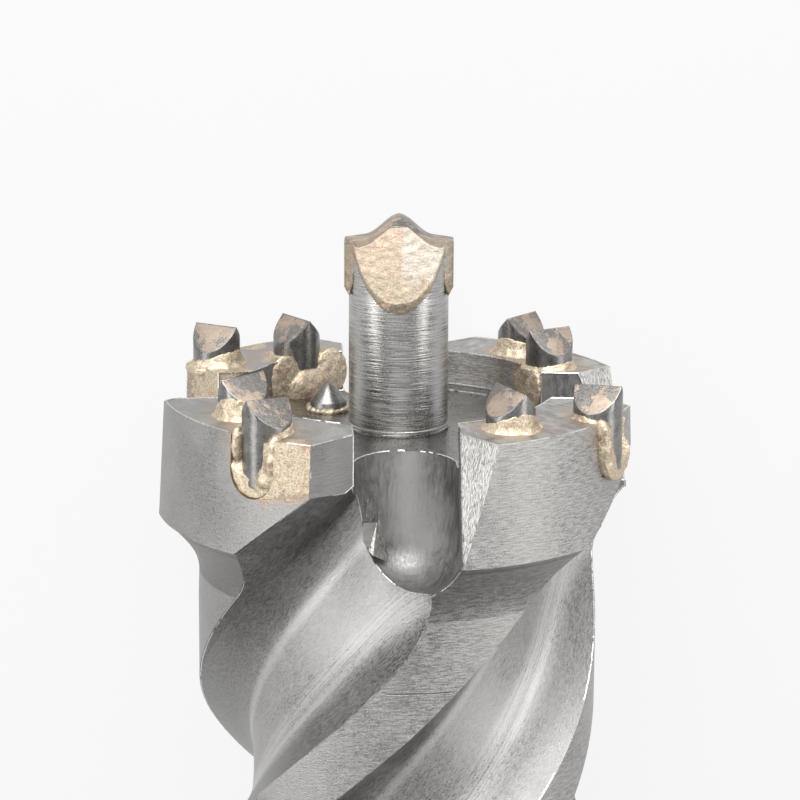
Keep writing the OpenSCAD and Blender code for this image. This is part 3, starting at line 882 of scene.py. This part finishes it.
def shank():
    top = -SPIRAL_END - SHAFT_OVERLAP
    narrower, higher = END_CHAMFER
    outline = [(0, top)] + [(SHAFT_R, top - SHAFT_STEP * k) for k in range(SHAFT_STEPS + 1)]
    outline += [(SHAFT_R, CONE_H - SHANK_TOP), (SHANK_R, -SHANK_TOP)]
    outline += [(SHANK_R, higher - BOTTOM), (SHANK_R - narrower, -BOTTOM), (0, -BOTTOM)]
    made = revolve("shank", outline, 128, FINISH["turned"])
    for *form, angles in GROOVES:
        for degrees in angles:
            cut(made, turn_mesh(groove(*form), degrees))
    return made


cut(body, shank(), "UNION")
print("body faces:", len(body.data.polygons))

# %% [markdown]
# Two studs sit so far out that their seats break through the crown's wall as open pockets with a round
# foot. Each pocket is a bore and a round-nosed slot, cut one after the other.

# %% Pockets of the two outer studs
SEAT_R, SEAT_DEPTH, POCKET_DEPTH = 4.4, 9.4, 10.4


def to_stud(number):
    """The matrix that moves a mesh made round the axis to a stud's place."""
    distance, degrees, *_ = STUDS[number]
    return Matrix.Rotation(math.radians(degrees), 4, "Z") @ Matrix.Translation((distance, 0, 0))


def pocket_profile(foot, top, steps=24):
    """A pocket's outline as seen from outside: straight sides and a round foot."""
    turns = [math.pi * k / steps for k in range(steps + 1)]
    arc = [(foot * math.cos(a), foot - POCKET_DEPTH - foot * math.sin(a)) for a in turns]
    return [(foot, top)] + arc + [(-foot, top)]


def seat_cutters(number):
    top, reach = 6, 14.0
    outline = [(0, top), (SEAT_R, top), (SEAT_R, -SEAT_DEPTH), (0, -SEAT_DEPTH)]
    bore = revolve("seat", outline, 64, FINISH["seat"])
    profile = pocket_profile(SEAT_R - 0.1, top)
    pocket = loft("pocket", [[(u, v, w) for v, w in profile] for u in (0.0, reach)], FINISH["seat"])
    for made in (bore, pocket):
        made.data.transform(to_stud(number))
    return bore, pocket


for number, row in STUDS.items():
    if row[2] == "outside":
        for cutter in seat_cutters(number):
            cut(body, cutter)
print("body faces with seats:", len(body.data.polygons))

# %% [markdown]
# Milling and grinding left a thin burr along the sharp edges, and the burr's lighter steel is a painted
# highlight on them. Geometry Nodes pick the edges by their angle, turn them into curves, shake them a little
# and sweep a fine wire along them. Noise breaks the wire here and there.

# %% Burr along the sharp edges
# Share of its distance from the axis by which the burr sits further in, so that it stays inside the solid's
# size
PULL = 0.007
# Braze covers the edges this near to an outer stud, so they have no burr
BRAZED_REACH = 6.6
# Least angle of a sharp edge, the lowest place, the wire's radius, how far it is shaken and its steps
BURR = {"Angle": math.radians(33), "Lowest": -170.0, "Wire": 0.15, "Shake": 0.14, "Step": 0.45}


def burr_tree():
    net, size = start_tree("edge_burr", BURR, source="Body")
    angle = net.node("GeometryNodeInputMeshEdgeAngle", out=1)
    place = net.node("GeometryNodeInputPosition")
    x, y, z = net.parts(place)
    broken = net.noise(place, 0.35, 3.0, 0.6)
    pockets = [(*polar(row[0], row[1]), 0.0, BRAZED_REACH) for row in STUDS.values() if row[2] == "outside"]
    bare = nearness(net, net.vector(x, y, 0.0), pockets).sum("GREATER_THAN", 1.0)
    sharp = angle.sum("GREATER_THAN", size["Angle"]) * z.sum("GREATER_THAN", size["Lowest"])
    chosen = sharp * bare * broken.sum("GREATER_THAN", 0.4)
    curve = net.node("GeometryNodeMeshToCurve", Mesh=size["Body"], Selection=chosen)
    even = net.node("GeometryNodeResampleCurve", {"mode": "LENGTH"}, Curve=curve, Length=size["Step"])
    shake = net.node("ShaderNodeTexNoise", out=1, Vector=place, Scale=1.7, Detail=2.0)
    centred = net.node("ShaderNodeVectorMath", {"operation": "SUBTRACT"}, i0=shake, i1=(0.5, 0.5, 0.5))
    offset = net.node("ShaderNodeVectorMath", {"operation": "SCALE"}, i0=centred, Scale=size["Shake"])
    inwards = net.node("ShaderNodeVectorMath", {"operation": "MULTIPLY"}, i0=place, i1=(-PULL, -PULL, 0.0))
    both = net.node("ShaderNodeVectorMath", {"operation": "ADD"}, i0=offset, i1=inwards)
    moved = net.node("GeometryNodeSetPosition", Geometry=even, Offset=both)
    width = net.noise(place, 0.9, 2.0, 0.5).ramp(0.35, 0.65, 0.45, 1.3)
    uneven = net.node("GeometryNodeSetCurveRadius", Curve=moved, Radius=width)
    ring = net.node("GeometryNodeCurvePrimitiveCircle", Resolution=5, Radius=size["Wire"])
    wire = net.node("GeometryNodeCurveToMesh", Curve=uneven, Profile_Curve=ring, Fill_Caps=True)
    return end_tree(net, wire, size["Finish"])


def join(made, *others):
    """Adds other meshes to an object's mesh, with their materials."""
    with edited(made.data) as work:
        for other in others:
            slots = []
            for material in other.data.materials:
                if material.name not in made.data.materials:
                    made.data.materials.append(material)
                slots.append(made.data.materials.find(material.name))
            for polygon in other.data.polygons:
                polygon.material_index = slots[polygon.material_index]
            work.from_mesh(other.data)
            drop(other)
    return made


burr = run_tree(body, burr_tree(), {"Finish": FINISH["burr"]})
print("burr faces:", len(burr.data.polygons))

# %% [markdown]
# The near channel's left wall is torn: a rough root stands on it and a small flap of steel bends away
# below. Each is the smallest solid round a handful of corners. The cavity's floor also gets its own dark
# finish here.

# %% Torn flap, and the floor's finish
TORN_ROOT = [
    (-5.5, -24.3, -16.6), (-5.6, -25.2, -19.4), (-4.6, -25.6, -20.9), (-3.0, -23.0, -16.8),
    (-3.9, -24.2, -20.6),
]
TORN_FLAP = [
    (-4.6, -25.6, -20.9), (-3.9, -26.2, -21.5), (-1.9, -24.6, -22.9), (-1.4, -23.6, -22.4),
    (-3.6, -23.6, -19.0), (-2.9, -22.6, -16.4), (-3.3, -23.3, -16.8), (-3.0, -24.0, -20.6),
]


def hull(name, points, material):
    """Wraps points in the smallest closed solid."""
    mesh = bpy.data.meshes.new(name)
    with edited(mesh) as work:
        bmesh.ops.convex_hull(work, input=[work.verts.new(point) for point in points])
    return face_outwards(new_object(name, mesh, material))


def finish_floor(made):
    """Gives the cavity's level floor its own finish."""
    place = len(made.data.materials)
    made.data.materials.append(FINISH["floor"])
    for polygon in made.data.polygons:
        x, y, z = polygon.center
        if polygon.normal.z > 0.9 and -8 < z < 0.4 - CAVITY_DEPTH and math.hypot(x, y) < CAVITY_R:
            polygon.material_index = place


finish_floor(body)
torn = hull("torn_root", TORN_ROOT, FINISH["bevel"])
flap = hull("torn_flap", TORN_FLAP, FINISH["ground"])
join(body, burr, torn, flap)
print("body faces with burr:", len(body.data.polygons))

# %% [markdown]
# A finished piece is laid down with the bit, rides on the one body and replaces its solid.

# %% Laying the pieces down
def settle(made, sharp):
    """Shades a mesh smooth between its sharp edges and lays it down with the bit."""
    made.data.set_sharp_from_angle(angle=math.radians(sharp))
    made.data.transform(UPRIGHT_TO_LYING)
    return made


def finish_piece(made, node, sharp=40):
    settle(made, sharp)
    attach(made, "root")
    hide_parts(node)
    return made


finish_piece(body, "spiral_crown_body", sharp=30)
print("body laid down")

# %% [markdown]
# A hard metal stud is a sintered pin, ground at its top into a roof with one ridge. Each was ground by eye,
# so its ridge has its own turn and slope. The pin is spun as a solid, two flat cuts make the roof, and a
# narrow bevel on every sharp edge catches the light as the real worn edges do.

# %% Studs
WORN_EDGE = 0.16


def pin(radius, low, high, steps=10, chamfer=0.4, corner=0.02):
    """Half the outline of a pin with a chamfered foot."""
    wall = [(radius, high + (low - high) * k / steps) for k in range(1, steps)]
    foot = [(radius, low + chamfer), (radius - chamfer, low), (0, low)]
    return [(0, high), (radius - corner, high), (radius, high - corner)] + wall + foot


def flat_cut(work, point, normal, material_index):
    """Cuts the mesh at a plane, drops what lies beyond it and closes the cut."""
    geometry = work.verts[:] + work.edges[:] + work.faces[:]
    done = bmesh.ops.bisect_plane(work, geom=geometry, plane_co=point, plane_no=normal, clear_outer=True)
    rim = [e for e in done["geom_cut"] if isinstance(e, bmesh.types.BMEdge)]
    closed = bmesh.ops.contextual_create(work, geom=rim)
    for face in closed["faces"]:
        face.material_index = material_index


def bevel_edges(work, width, sharp=25):
    edges = [e for e in work.edges if len(e.link_faces) == 2 and e.calc_face_angle(0) > math.radians(sharp)]
    bmesh.ops.bevel(work, geom=edges, offset=width, segments=2, affect="EDGES", profile=0.6)


def stud(number):
    *_, lowered, spin, slope = STUDS[number]
    outline = pin(STUD_R, -STUD_SEAT, STUD_HEIGHT + 2)
    made = revolve(f"crown_stud_{number}", outline, 72, FINISH["stud_side"])
    made.data.materials.append(FINISH["stud_roof"])
    turn = Euler((0, math.radians(slope), math.radians(spin)), "XYZ").to_matrix()
    with edited(made.data) as work:
        for side in (-1, 1):
            flat_cut(work, (0, 0, STUD_HEIGHT - lowered), turn @ Vector((0, side, 1)), 1)
        bevel_edges(work, WORN_EDGE)
    made.data.transform(to_stud(number))
    return made


for number in STUDS:
    finish_piece(stud(number), f"crown_stud_{number}")
print("studs:", len(STUDS))

# %% [markdown]
# One more stud stands on the crown's floor. It is thinner and has a cone with a slightly rounded flank for
# a tip.

# %% Pointed stud on the crown's floor
CORE_STUD_AT, CORE_STUD_R, CORE_STUD_CONE = (15.7, 139.0), 3.1, 3.3
CORE_STUD_HEIGHT, CORE_STUD_SEAT = 4.8, 5.0


def core_stud(steps=16, bulge=0.45, chamfer=0.4):
    base = -CAVITY_DEPTH
    shares = [math.sqrt(k / steps) for k in range(steps + 1)]
    top = base + CORE_STUD_HEIGHT
    cone = [(CORE_STUD_R * share * (1 - bulge + bulge * share), top - CORE_STUD_CONE * share ** 2)
            for share in shares]
    low = base - CORE_STUD_SEAT
    outline = cone + [(CORE_STUD_R, low + chamfer), (CORE_STUD_R - chamfer, low), (0, low)]
    made = revolve("core_stud", outline, 64, FINISH["stud_side"])
    made.data.transform(Matrix.Translation((*polar(*CORE_STUD_AT), 0)))
    return made


finish_piece(core_stud(), "core_stud")
print("pointed stud on the floor")

# %% [markdown]
# The braze melted round each stud and froze in a lumpy collar with a grainy skin. It is built from rough
# parts: a ring of small beads, which a Geometry Nodes tree lays with uneven sizes, a skirt that climbs the
# stud, and drops listed one by one where it ran down. A voxel remesh melts the parts into one skin, and noise
# gives it lumps and grain.

# %% Beads of braze as a node tree
def bead_tree():
    sizes = {"Radius": 4.2, "Bead": 0.8, "Unevenness": 0.35}
    net, size = start_tree("braze_beads", sizes, {"Beads": 22, "Seed": 1})
    ring = net.node("GeometryNodeMeshCircle", Vertices=size["Beads"], Radius=size["Radius"])
    low, high = 1.0 - size["Unevenness"], 1.0 + size["Unevenness"]
    vary = net.node("FunctionNodeRandomValue", {"data_type": "FLOAT"}, out=1, i2=low, i3=high,
                    Seed=size["Seed"])
    ball = net.node("GeometryNodeMeshIcoSphere", Radius=size["Bead"], Subdivisions=3)
    beads = net.node("GeometryNodeInstanceOnPoints", Points=ring, Instance=ball, Scale=vary)
    return end_tree(net, beads, size["Finish"])


BEADS = bead_tree()


def bead_ring(radius, bead, seed, beads):
    holder = new_object("holder", bpy.data.meshes.new("holder"))
    values = {"Radius": radius, "Bead": bead, "Seed": seed, "Beads": beads, "Finish": FINISH["braze"]}
    made = run_tree(holder, BEADS, values)
    drop(holder)
    return made


def drops(places):
    """Makes stretched balls: centre and half sizes in millimetres."""
    mesh = bpy.data.meshes.new("drops")
    with edited(mesh) as work:
        for x, y, z, *sizes in places:
            matrix = Matrix.Translation((x, y, z)) @ Matrix.Diagonal((*sizes, 1))
            bmesh.ops.create_icosphere(work, subdivisions=3, radius=1.0, matrix=matrix)
    return new_object("drops", mesh, FINISH["braze"])


def lumpy(vertex, seed, coarse, fine):
    place = vertex + Vector((seed * 7.3, seed * 3.1, -seed * 5.7))
    grain = noise.noise(place * 3.4) + 0.4 * noise.noise(place * 7.0)
    return coarse * noise.noise(place * 0.9) + fine * grain


def melt(name, parts, seed, voxel=0.24, coarse=0.15, fine=0.14, soften=3, finish="braze"):
    """Joins rough parts into one closed skin of braze with lumps and grain."""
    mesh = bpy.data.meshes.new(name)
    with edited(mesh) as work:
        for part in parts:
            work.from_mesh(part.data)
            drop(part)
    made = new_object(name, mesh, FINISH[finish])
    modifier = made.modifiers.new("melt", "REMESH")
    modifier.mode = "VOXEL"
    modifier.voxel_size = voxel
    modifier.use_smooth_shade = True
    made.data = baked(made)
    made.modifiers.clear()
    with edited(made.data) as work:
        for _ in range(soften):
            bmesh.ops.smooth_vert(work, verts=work.verts, factor=0.5, use_axis_x=True, use_axis_y=True,
                                  use_axis_z=True)
        work.normal_update()
        moves = [vertex.normal * lumpy(vertex.co, seed, coarse, fine) for vertex in work.verts]
        for vertex, move in zip(work.verts, moves):
            vertex.co += move
    made.data.name = name
    return made


print("braze helpers ready")

# %% [markdown]
# Each collar has its own form. A skirt is a concave fillet that climbs higher on one side of its stud, and
# it stays open where the stud breaks through the crown's wall. An open pocket is filled with braze that a
# ball scoops out.

# %% Forms of the braze collars
CREST_SLOPE = CREST_FALL / (CREST_R - CAVITY_R)


# Each stud's skirt: how far out its foot reaches, its least and greatest height, and where from above it is
# highest
SKIRTS = {
    1: (5.0, 0.5, 3.2, -60), 2: (4.6, 0.0, 1.2, -170), 3: (4.9, 0.4, 1.5, -20), 4: (5.6, 0.5, 3.2, -125),
    5: (5.0, 0.4, 2.2, -20), 6: (5.2, 0.9, 2.8, -40), 7: (5.2, 0.4, 3.8, -115), 8: (4.6, 0.2, 1.8, 10),
}
# Drops beside each stud in its own directions: outwards, sideways and up, then the half sizes
RUNS = {
    1: [(1.0, 4.0, -0.3, 2.4, 1.0, 0.6)],
    2: [(2.4, -3.6, -1.6, 1.5, 1.1, 2.0), (2.8, -3.4, -4.6, 1.5, 1.3, 3.0), (3.0, -2.4, -7.6, 1.3, 1.8, 1.8)],
    3: [(-4.0, -1.5, -3.0, 0.9, 2.4, 3.4), (-4.0, -0.5, -5.4, 0.8, 1.8, 2.0)],
    4: [(-1.8, -3.6, -0.3, 1.6, 1.2, 0.5)],
    5: [(-3.5, 0.0, -5.4, 1.7, 4.8, 3.6), (-3.1, 4.8, -3.4, 0.9, 3.4, 4.4),
        (-3.1, -5.0, -3.4, 0.9, 3.6, 4.4)],
    6: [(1.0, 3.8, -0.4, 2.0, 1.0, 0.6)],
    7: [(1.6, 3.4, -0.3, 2.0, 1.0, 0.6)],
    8: [(2.6, -3.8, -2.4, 1.4, 1.0, 3.0), (2.4, 3.6, -1.4, 1.6, 1.1, 1.8), (2.8, 3.4, -4.4, 1.6, 1.4, 2.8),
        (3.0, 2.2, -7.2, 1.5, 2.0, 1.8), (2.2, 5.6, -3.8, 1.6, 1.6, 3.4)],
}


def skirt(foot, low, high, highest, seed, open_at, steps=72):
    """A concave fillet round a stud whose height and foot change round it. It is open towards open_at."""
    sink, sunk, opening, blend, curve_steps, curve = 1.0, -1.2, 0.7, 0.5, 7, 2.4
    rings = []
    for k in range(steps):
        a = 2 * math.pi * k / steps
        turn = Vector((math.cos(a), math.sin(a), seed * 3.7))
        lean = (0.5 + 0.5 * math.cos(a - math.radians(highest))) ** 2
        height = low + (high - low) * lean + 0.25 * noise.noise(turn * 2.2)
        reach = foot - STUD_R + 0.45 * noise.noise(turn * 1.6 + Vector((5, 0, 0)))
        if open_at is not None:
            closed = min(1.0, max(0.0, (abs(math.remainder(a - open_at, 2 * math.pi)) - opening) / blend))
            height = height * closed
            reach = (reach + 0.6) * closed - 0.6
        shares = [n / curve_steps for n in range(curve_steps + 1)]
        points = [(STUD_R - sink, sunk), (STUD_R - sink, height)]
        points += [(STUD_R + 0.02 + reach * share, height * (1 - share) ** curve) for share in shares]
        points.append((STUD_R + reach, sunk))
        rings.append([(r * math.cos(a), r * math.sin(a), h) for r, h in points])
    return ring_solid("skirt", rings, FINISH["braze"])


def ring_solid(name, rings, material):
    """Joins closed outlines that stand round an axis into one closed ring."""
    count = len(rings[0])
    vertices = [point for ring in rings for point in ring]
    faces = []
    for k in range(len(rings)):
        m = (k + 1) % len(rings)
        for j in range(count):
            n = (j + 1) % count
            faces.append([k * count + j, m * count + j, m * count + n, k * count + n])
    return solid(name, vertices, faces, material)


def pocket_fill(side):
    """Braze that fills an open pocket. Its front is scooped out round the stud, more on one side."""
    inner, outer, scoop_r, scoop_z, scoop_at = -1.0, 3.9, 4.3, -3.2, 6.0
    profile = pocket_profile(SEAT_R, -1.0)
    made = loft("pocket_fill", [[(u, v, w) for v, w in profile] for u in (inner, outer)], FINISH["braze"])
    turns = [math.pi * k / 32 for k in range(16)]
    ball = [(scoop_r * math.cos(a), scoop_z - scoop_r * math.sin(a)) for a in turns]
    scoop = revolve("scoop", [(0, 4), (scoop_r, 4)] + ball + [(0, scoop_z - scoop_r)], 48, FINISH["braze"])
    scoop.data.transform(Matrix.Translation((scoop_at, side * 1.5, 0)))
    return cut(made, scoop)


def collar(number):
    distance, degrees, seat, *_ = STUDS[number]
    foot, low, high, highest = SKIRTS[number]
    open_at = {"outside": 0.0, "inside": math.pi}.get(seat)
    parts = [skirt(foot, low, high, highest - degrees, number, open_at)]
    if seat == "closed":
        parts.append(bead_ring(STUD_R, 0.36, number, 30))
    level = -CREST_SLOPE * (distance - CAVITY_R) - 0.05
    for part in parts:
        for vertex in part.data.vertices:
            vertex.co.z += level - vertex.co.x * CREST_SLOPE
    if seat == "outside":
        parts.append(pocket_fill(1 if number == 2 else -1))
    parts.append(drops(RUNS[number]))
    made = melt(f"stud_solder_{number}", parts, number, voxel=0.2, coarse=0.16, fine=0.05)
    made.data.transform(to_stud(number))
    return made


print("skirts:", len(SKIRTS), "runs:", sum(len(run) for run in RUNS.values()))

# %% [markdown]
# Now each stud gets its collar, and the pointed one a plain ring of beads.

# %% Braze collars
for number in STUDS:
    made = finish_piece(collar(number), f"stud_solder_{number}", sharp=180)
    print(made.name, "faces:", len(made.data.polygons))


def core_collar():
    made = melt("core_stud_solder", [bead_ring(CORE_STUD_R + 0.2, 0.62, 11, 18)], 11)
    made.data.transform(Matrix.Translation((*polar(*CORE_STUD_AT), 0.25 - CAVITY_DEPTH)))
    return made


finish_piece(core_collar(), "core_stud_solder", sharp=180)

# %% [markdown]
# The pilot is a turned pin with fine rings all the way up. Two long flats are ground on its end, a cutting
# plate of hard metal is brazed in a slit across it, and the braze spread over both flats.

# %% Pilot shaft and its plate
# The plate's top rises in a bell over this share of its half width, and falls evenly by EVEN_FALL to its
# shoulders
PLATE_W, PLATE_T, PLATE_BOTTOM, PLATE_RISE, BELL, EVEN_FALL = 18.0, 4.0, 17.2, 4.0, 0.62, 1.3
FLAT_TOP, FLAT_ANGLE = PILOT_HEIGHT - 1.5, math.radians(26.6)
# Two fine ridges round the pilot's foot, and their size
FOOT_RIDGES, RIDGE, RIDGE_HALF = (-5.9, -6.45), 0.16, 0.12
PLATE_WORN_EDGE = 0.22


def plate_outline(fall=0.0, half=PLATE_W / 2, steps=14):
    """Top of the plate from left to right: low shoulders and an S-curve up to the point."""
    points = []
    for k in range(-steps, steps + 1):
        x = k / steps
        bell = 0.5 + 0.5 * math.cos(math.pi * min(1.0, abs(x) / BELL))
        height = PILOT_HEIGHT - PLATE_RISE + (PLATE_RISE - EVEN_FALL) * bell + EVEN_FALL * (1 - abs(x))
        points.append((x * half, height - fall))
    return points


def prism(name, outline, y0, y1, material):
    """Makes a solid from an (x, z) outline between two y values."""
    return loft(name, [[(x, y, z) for x, z in outline] for y in (y0, y1)], material)


def flat_cutter(side, drop_h=26, wide=60):
    """The solid that grinding takes off beside the plate."""
    y, low = PLATE_T / 2, FLAT_TOP - drop_h
    outline = [(y, FLAT_TOP), (y + drop_h * math.tan(FLAT_ANGLE), low), (wide, low), (wide, FLAT_TOP + 20),
               (y, FLAT_TOP + 20)]
    rings = [[(x, side * depth, z) for depth, z in outline] for x in (-20, 20)]
    return loft("flat_cutter", rings, FINISH["turned_pilot"])


def arch_cutter(fall, finish):
    """The solid over the plate's outline, which is lowered by fall."""
    over = [(20, PILOT_HEIGHT + 30), (-20, PILOT_HEIGHT + 30)]
    return prism("arch_cutter", plate_outline(fall, PLATE_W / 2 + 1) + over, -20, 20, FINISH[finish])


def pilot():
    low = -CAVITY_DEPTH - PILOT_SEAT
    top = PILOT_HEIGHT + 2
    outline = [(0, top)] + [(PILOT_R, top - k) for k in range(37)]
    for ridge in FOOT_RIDGES:
        outline += [(PILOT_R, ridge + RIDGE_HALF), (PILOT_R + RIDGE, ridge), (PILOT_R, ridge - RIDGE_HALF)]
    outline += [(PILOT_R, h) for h in range(-8, -31, -2)]
    outline += [(PILOT_R - 0.4, low), (0, low)]
    made = revolve("pilot_shaft", outline, 144, FINISH["turned_pilot"])
    for side in (-1, 1):
        cut(made, flat_cutter(side))
    return cut(made, arch_cutter(1.2, "turned_pilot"))


def plate():
    outline = plate_outline() + [(PLATE_W / 2, PLATE_BOTTOM), (-PLATE_W / 2, PLATE_BOTTOM)]
    made = prism("pilot_tip_plate", outline, -PLATE_T / 2, PLATE_T / 2, FINISH["stud_roof"])
    with edited(made.data) as work:
        bevel_edges(work, PLATE_WORN_EDGE, sharp=40)
    return made


finish_piece(pilot(), "pilot_shaft", sharp=30)
finish_piece(plate(), "pilot_tip_plate")
print("pilot and plate in place")

# %% [markdown]
# The braze on each flat is a thin layer with one upright ridge, kept inside the pilot's round. A small
# wedge of it also fills the corner on either side of the plate.

# %% Braze on the pilot's flats
# Places across the flat and how thick the layer is there
LAYER = [(-9.0, 0.1), (0.7, 0.55), (9.0, 0.1)]
LAYER_SINK, LAYER_H, LAYER_R = 0.4, 14, PILOT_R + 0.12
WEDGE = [
    (8.95, 1.8, 24.6), (8.95, 2.5, 24.4), (7.2, 3.9, 24.8), (7.2, 1.8, 24.8), (8.95, 1.8, 17.4),
    (8.95, 2.5, 17.6), (8.2, 3.0, 16.0), (7.4, 3.7, 18.6), (7.4, 1.8, 16.4),
]


def flat_layer(side):
    lean = LAYER_H * math.tan(FLAT_ANGLE)
    inner = PLATE_T / 2 - LAYER_SINK
    rings = []
    for x, thick in LAYER:
        outer = PLATE_T / 2 + thick
        outline = [(inner, FLAT_TOP), (outer, FLAT_TOP), (outer + lean, FLAT_TOP - LAYER_H),
                   (inner + lean, FLAT_TOP - LAYER_H)]
        rings.append([(x, side * depth, z) for depth, z in outline])
    slab = loft("slab", rings, FINISH["braze"])
    bar = revolve("bar", [(0, 40), (LAYER_R, 40), (LAYER_R, 0), (0, 0)], 96, FINISH["braze"])
    cut(slab, bar, "INTERSECT")
    return cut(slab, arch_cutter(1.0, "braze"))


def flat_braze():
    parts = []
    for side in (-1, 1):
        parts.append(flat_layer(side))
        for end in (-1, 1):
            parts.append(hull("wedge", [(end * x, side * y, z) for x, y, z in WEDGE], FINISH["braze"]))
    return melt("pilot_solder", parts, 21, voxel=0.16, coarse=0.1, fine=0.03, soften=1, finish="pilot_braze")


finish_piece(flat_braze(), "pilot_solder", sharp=180)
print("braze on both flats")

# %% [markdown]
# The floor and the backdrop are plain and nearly white. The camera sees them white, and so does the
# polished steel, while the floor still takes the bit's soft shadow. A long soft lamp stands on each side, a
# wide one hangs beside the camera, and another shines down on the crest.

# %% Floor, lamps and world
# How much of the floor that the camera and the steel see is its own white, and how bright the world is for
# the camera and for everything else
GLOW_SHARE, WORLD_SEEN, WORLD_LIGHT = 0.94, 1.0, 0.58


def make_floor():
    half = 4.0
    corners = [(-half, -half, 0), (half, -half, 0), (half, half, 0), (-half, half, 0)]
    mesh = bpy.data.meshes.new("floor")
    mesh.from_pydata(corners, [], [(0, 1, 2, 3)])
    material, net, shader = start_material("pale_floor")
    shader.inputs["Base Color"].default_value = rgb(0.93, 0.93, 0.93)
    shader.inputs["Roughness"].default_value = 0.9
    shader.inputs["Specular IOR Level"].default_value = 0.1
    glow = net.node("ShaderNodeEmission", Color=rgb(0.918, 0.918, 0.918), Strength=1.0)
    seen = net.node("ShaderNodeLightPath")
    outputs = seen.socket.node.outputs
    ray = Term(net, outputs["Is Camera Ray"]).most(Term(net, outputs["Is Glossy Ray"]))
    both = net.node("ShaderNodeMixShader", Fac=ray * GLOW_SHARE, i1=Term(net, shader.outputs[0]), i2=glow)
    net.tree.links.new(both.socket, material.node_tree.nodes["Material Output"].inputs[0])
    made = new_object("floor", mesh, material)


def make_world():
    world = bpy.data.worlds.new("studio")
    bpy.context.scene.world = world
    world.use_nodes = True
    net = Net(world.node_tree)
    seen = net.node("ShaderNodeLightPath")
    outputs = seen.socket.node.outputs
    ray = Term(net, outputs["Is Camera Ray"])
    back = world.node_tree.nodes["Background"]
    back.inputs["Color"].default_value = rgb(1, 1, 1)
    net.feed(back.inputs["Strength"], ray * (WORLD_SEEN - WORLD_LIGHT) + WORLD_LIGHT)


def lamp(name, place, size, power, target=(0, 0, -20)):
    data = bpy.data.lights.new(name, "AREA")
    data.shape = "RECTANGLE"
    data.size, data.size_y = size
    data.energy = power
    made = bpy.data.objects.new(name, data)
    bpy.context.scene.collection.objects.link(made)
    spot, aim = lying(*place), lying(*target)
    made.location = spot
    made.rotation_euler = (spot - aim).to_track_quat("Z", "Y").to_euler()


make_floor()
make_world()
# Name, place, size in metres, power in watts and what it is aimed at
lamp("left_strip", (-560, -390, 170), (1.5, 0.24), 4.3, (0, 0, -10))
lamp("right_strip", (590, -370, 170), (1.5, 0.22), 3.5, (0, 0, -10))
lamp("front_lamp", (-150, -900, 500), (0.7, 0.7), 2.1)
lamp("head_lamp", (0, -420, 760), (0.7, 0.4), 7.6, (0, 0, 0))
bpy.context.scene.view_settings.view_transform = "Standard"
print("lamps:", len(bpy.data.lights))
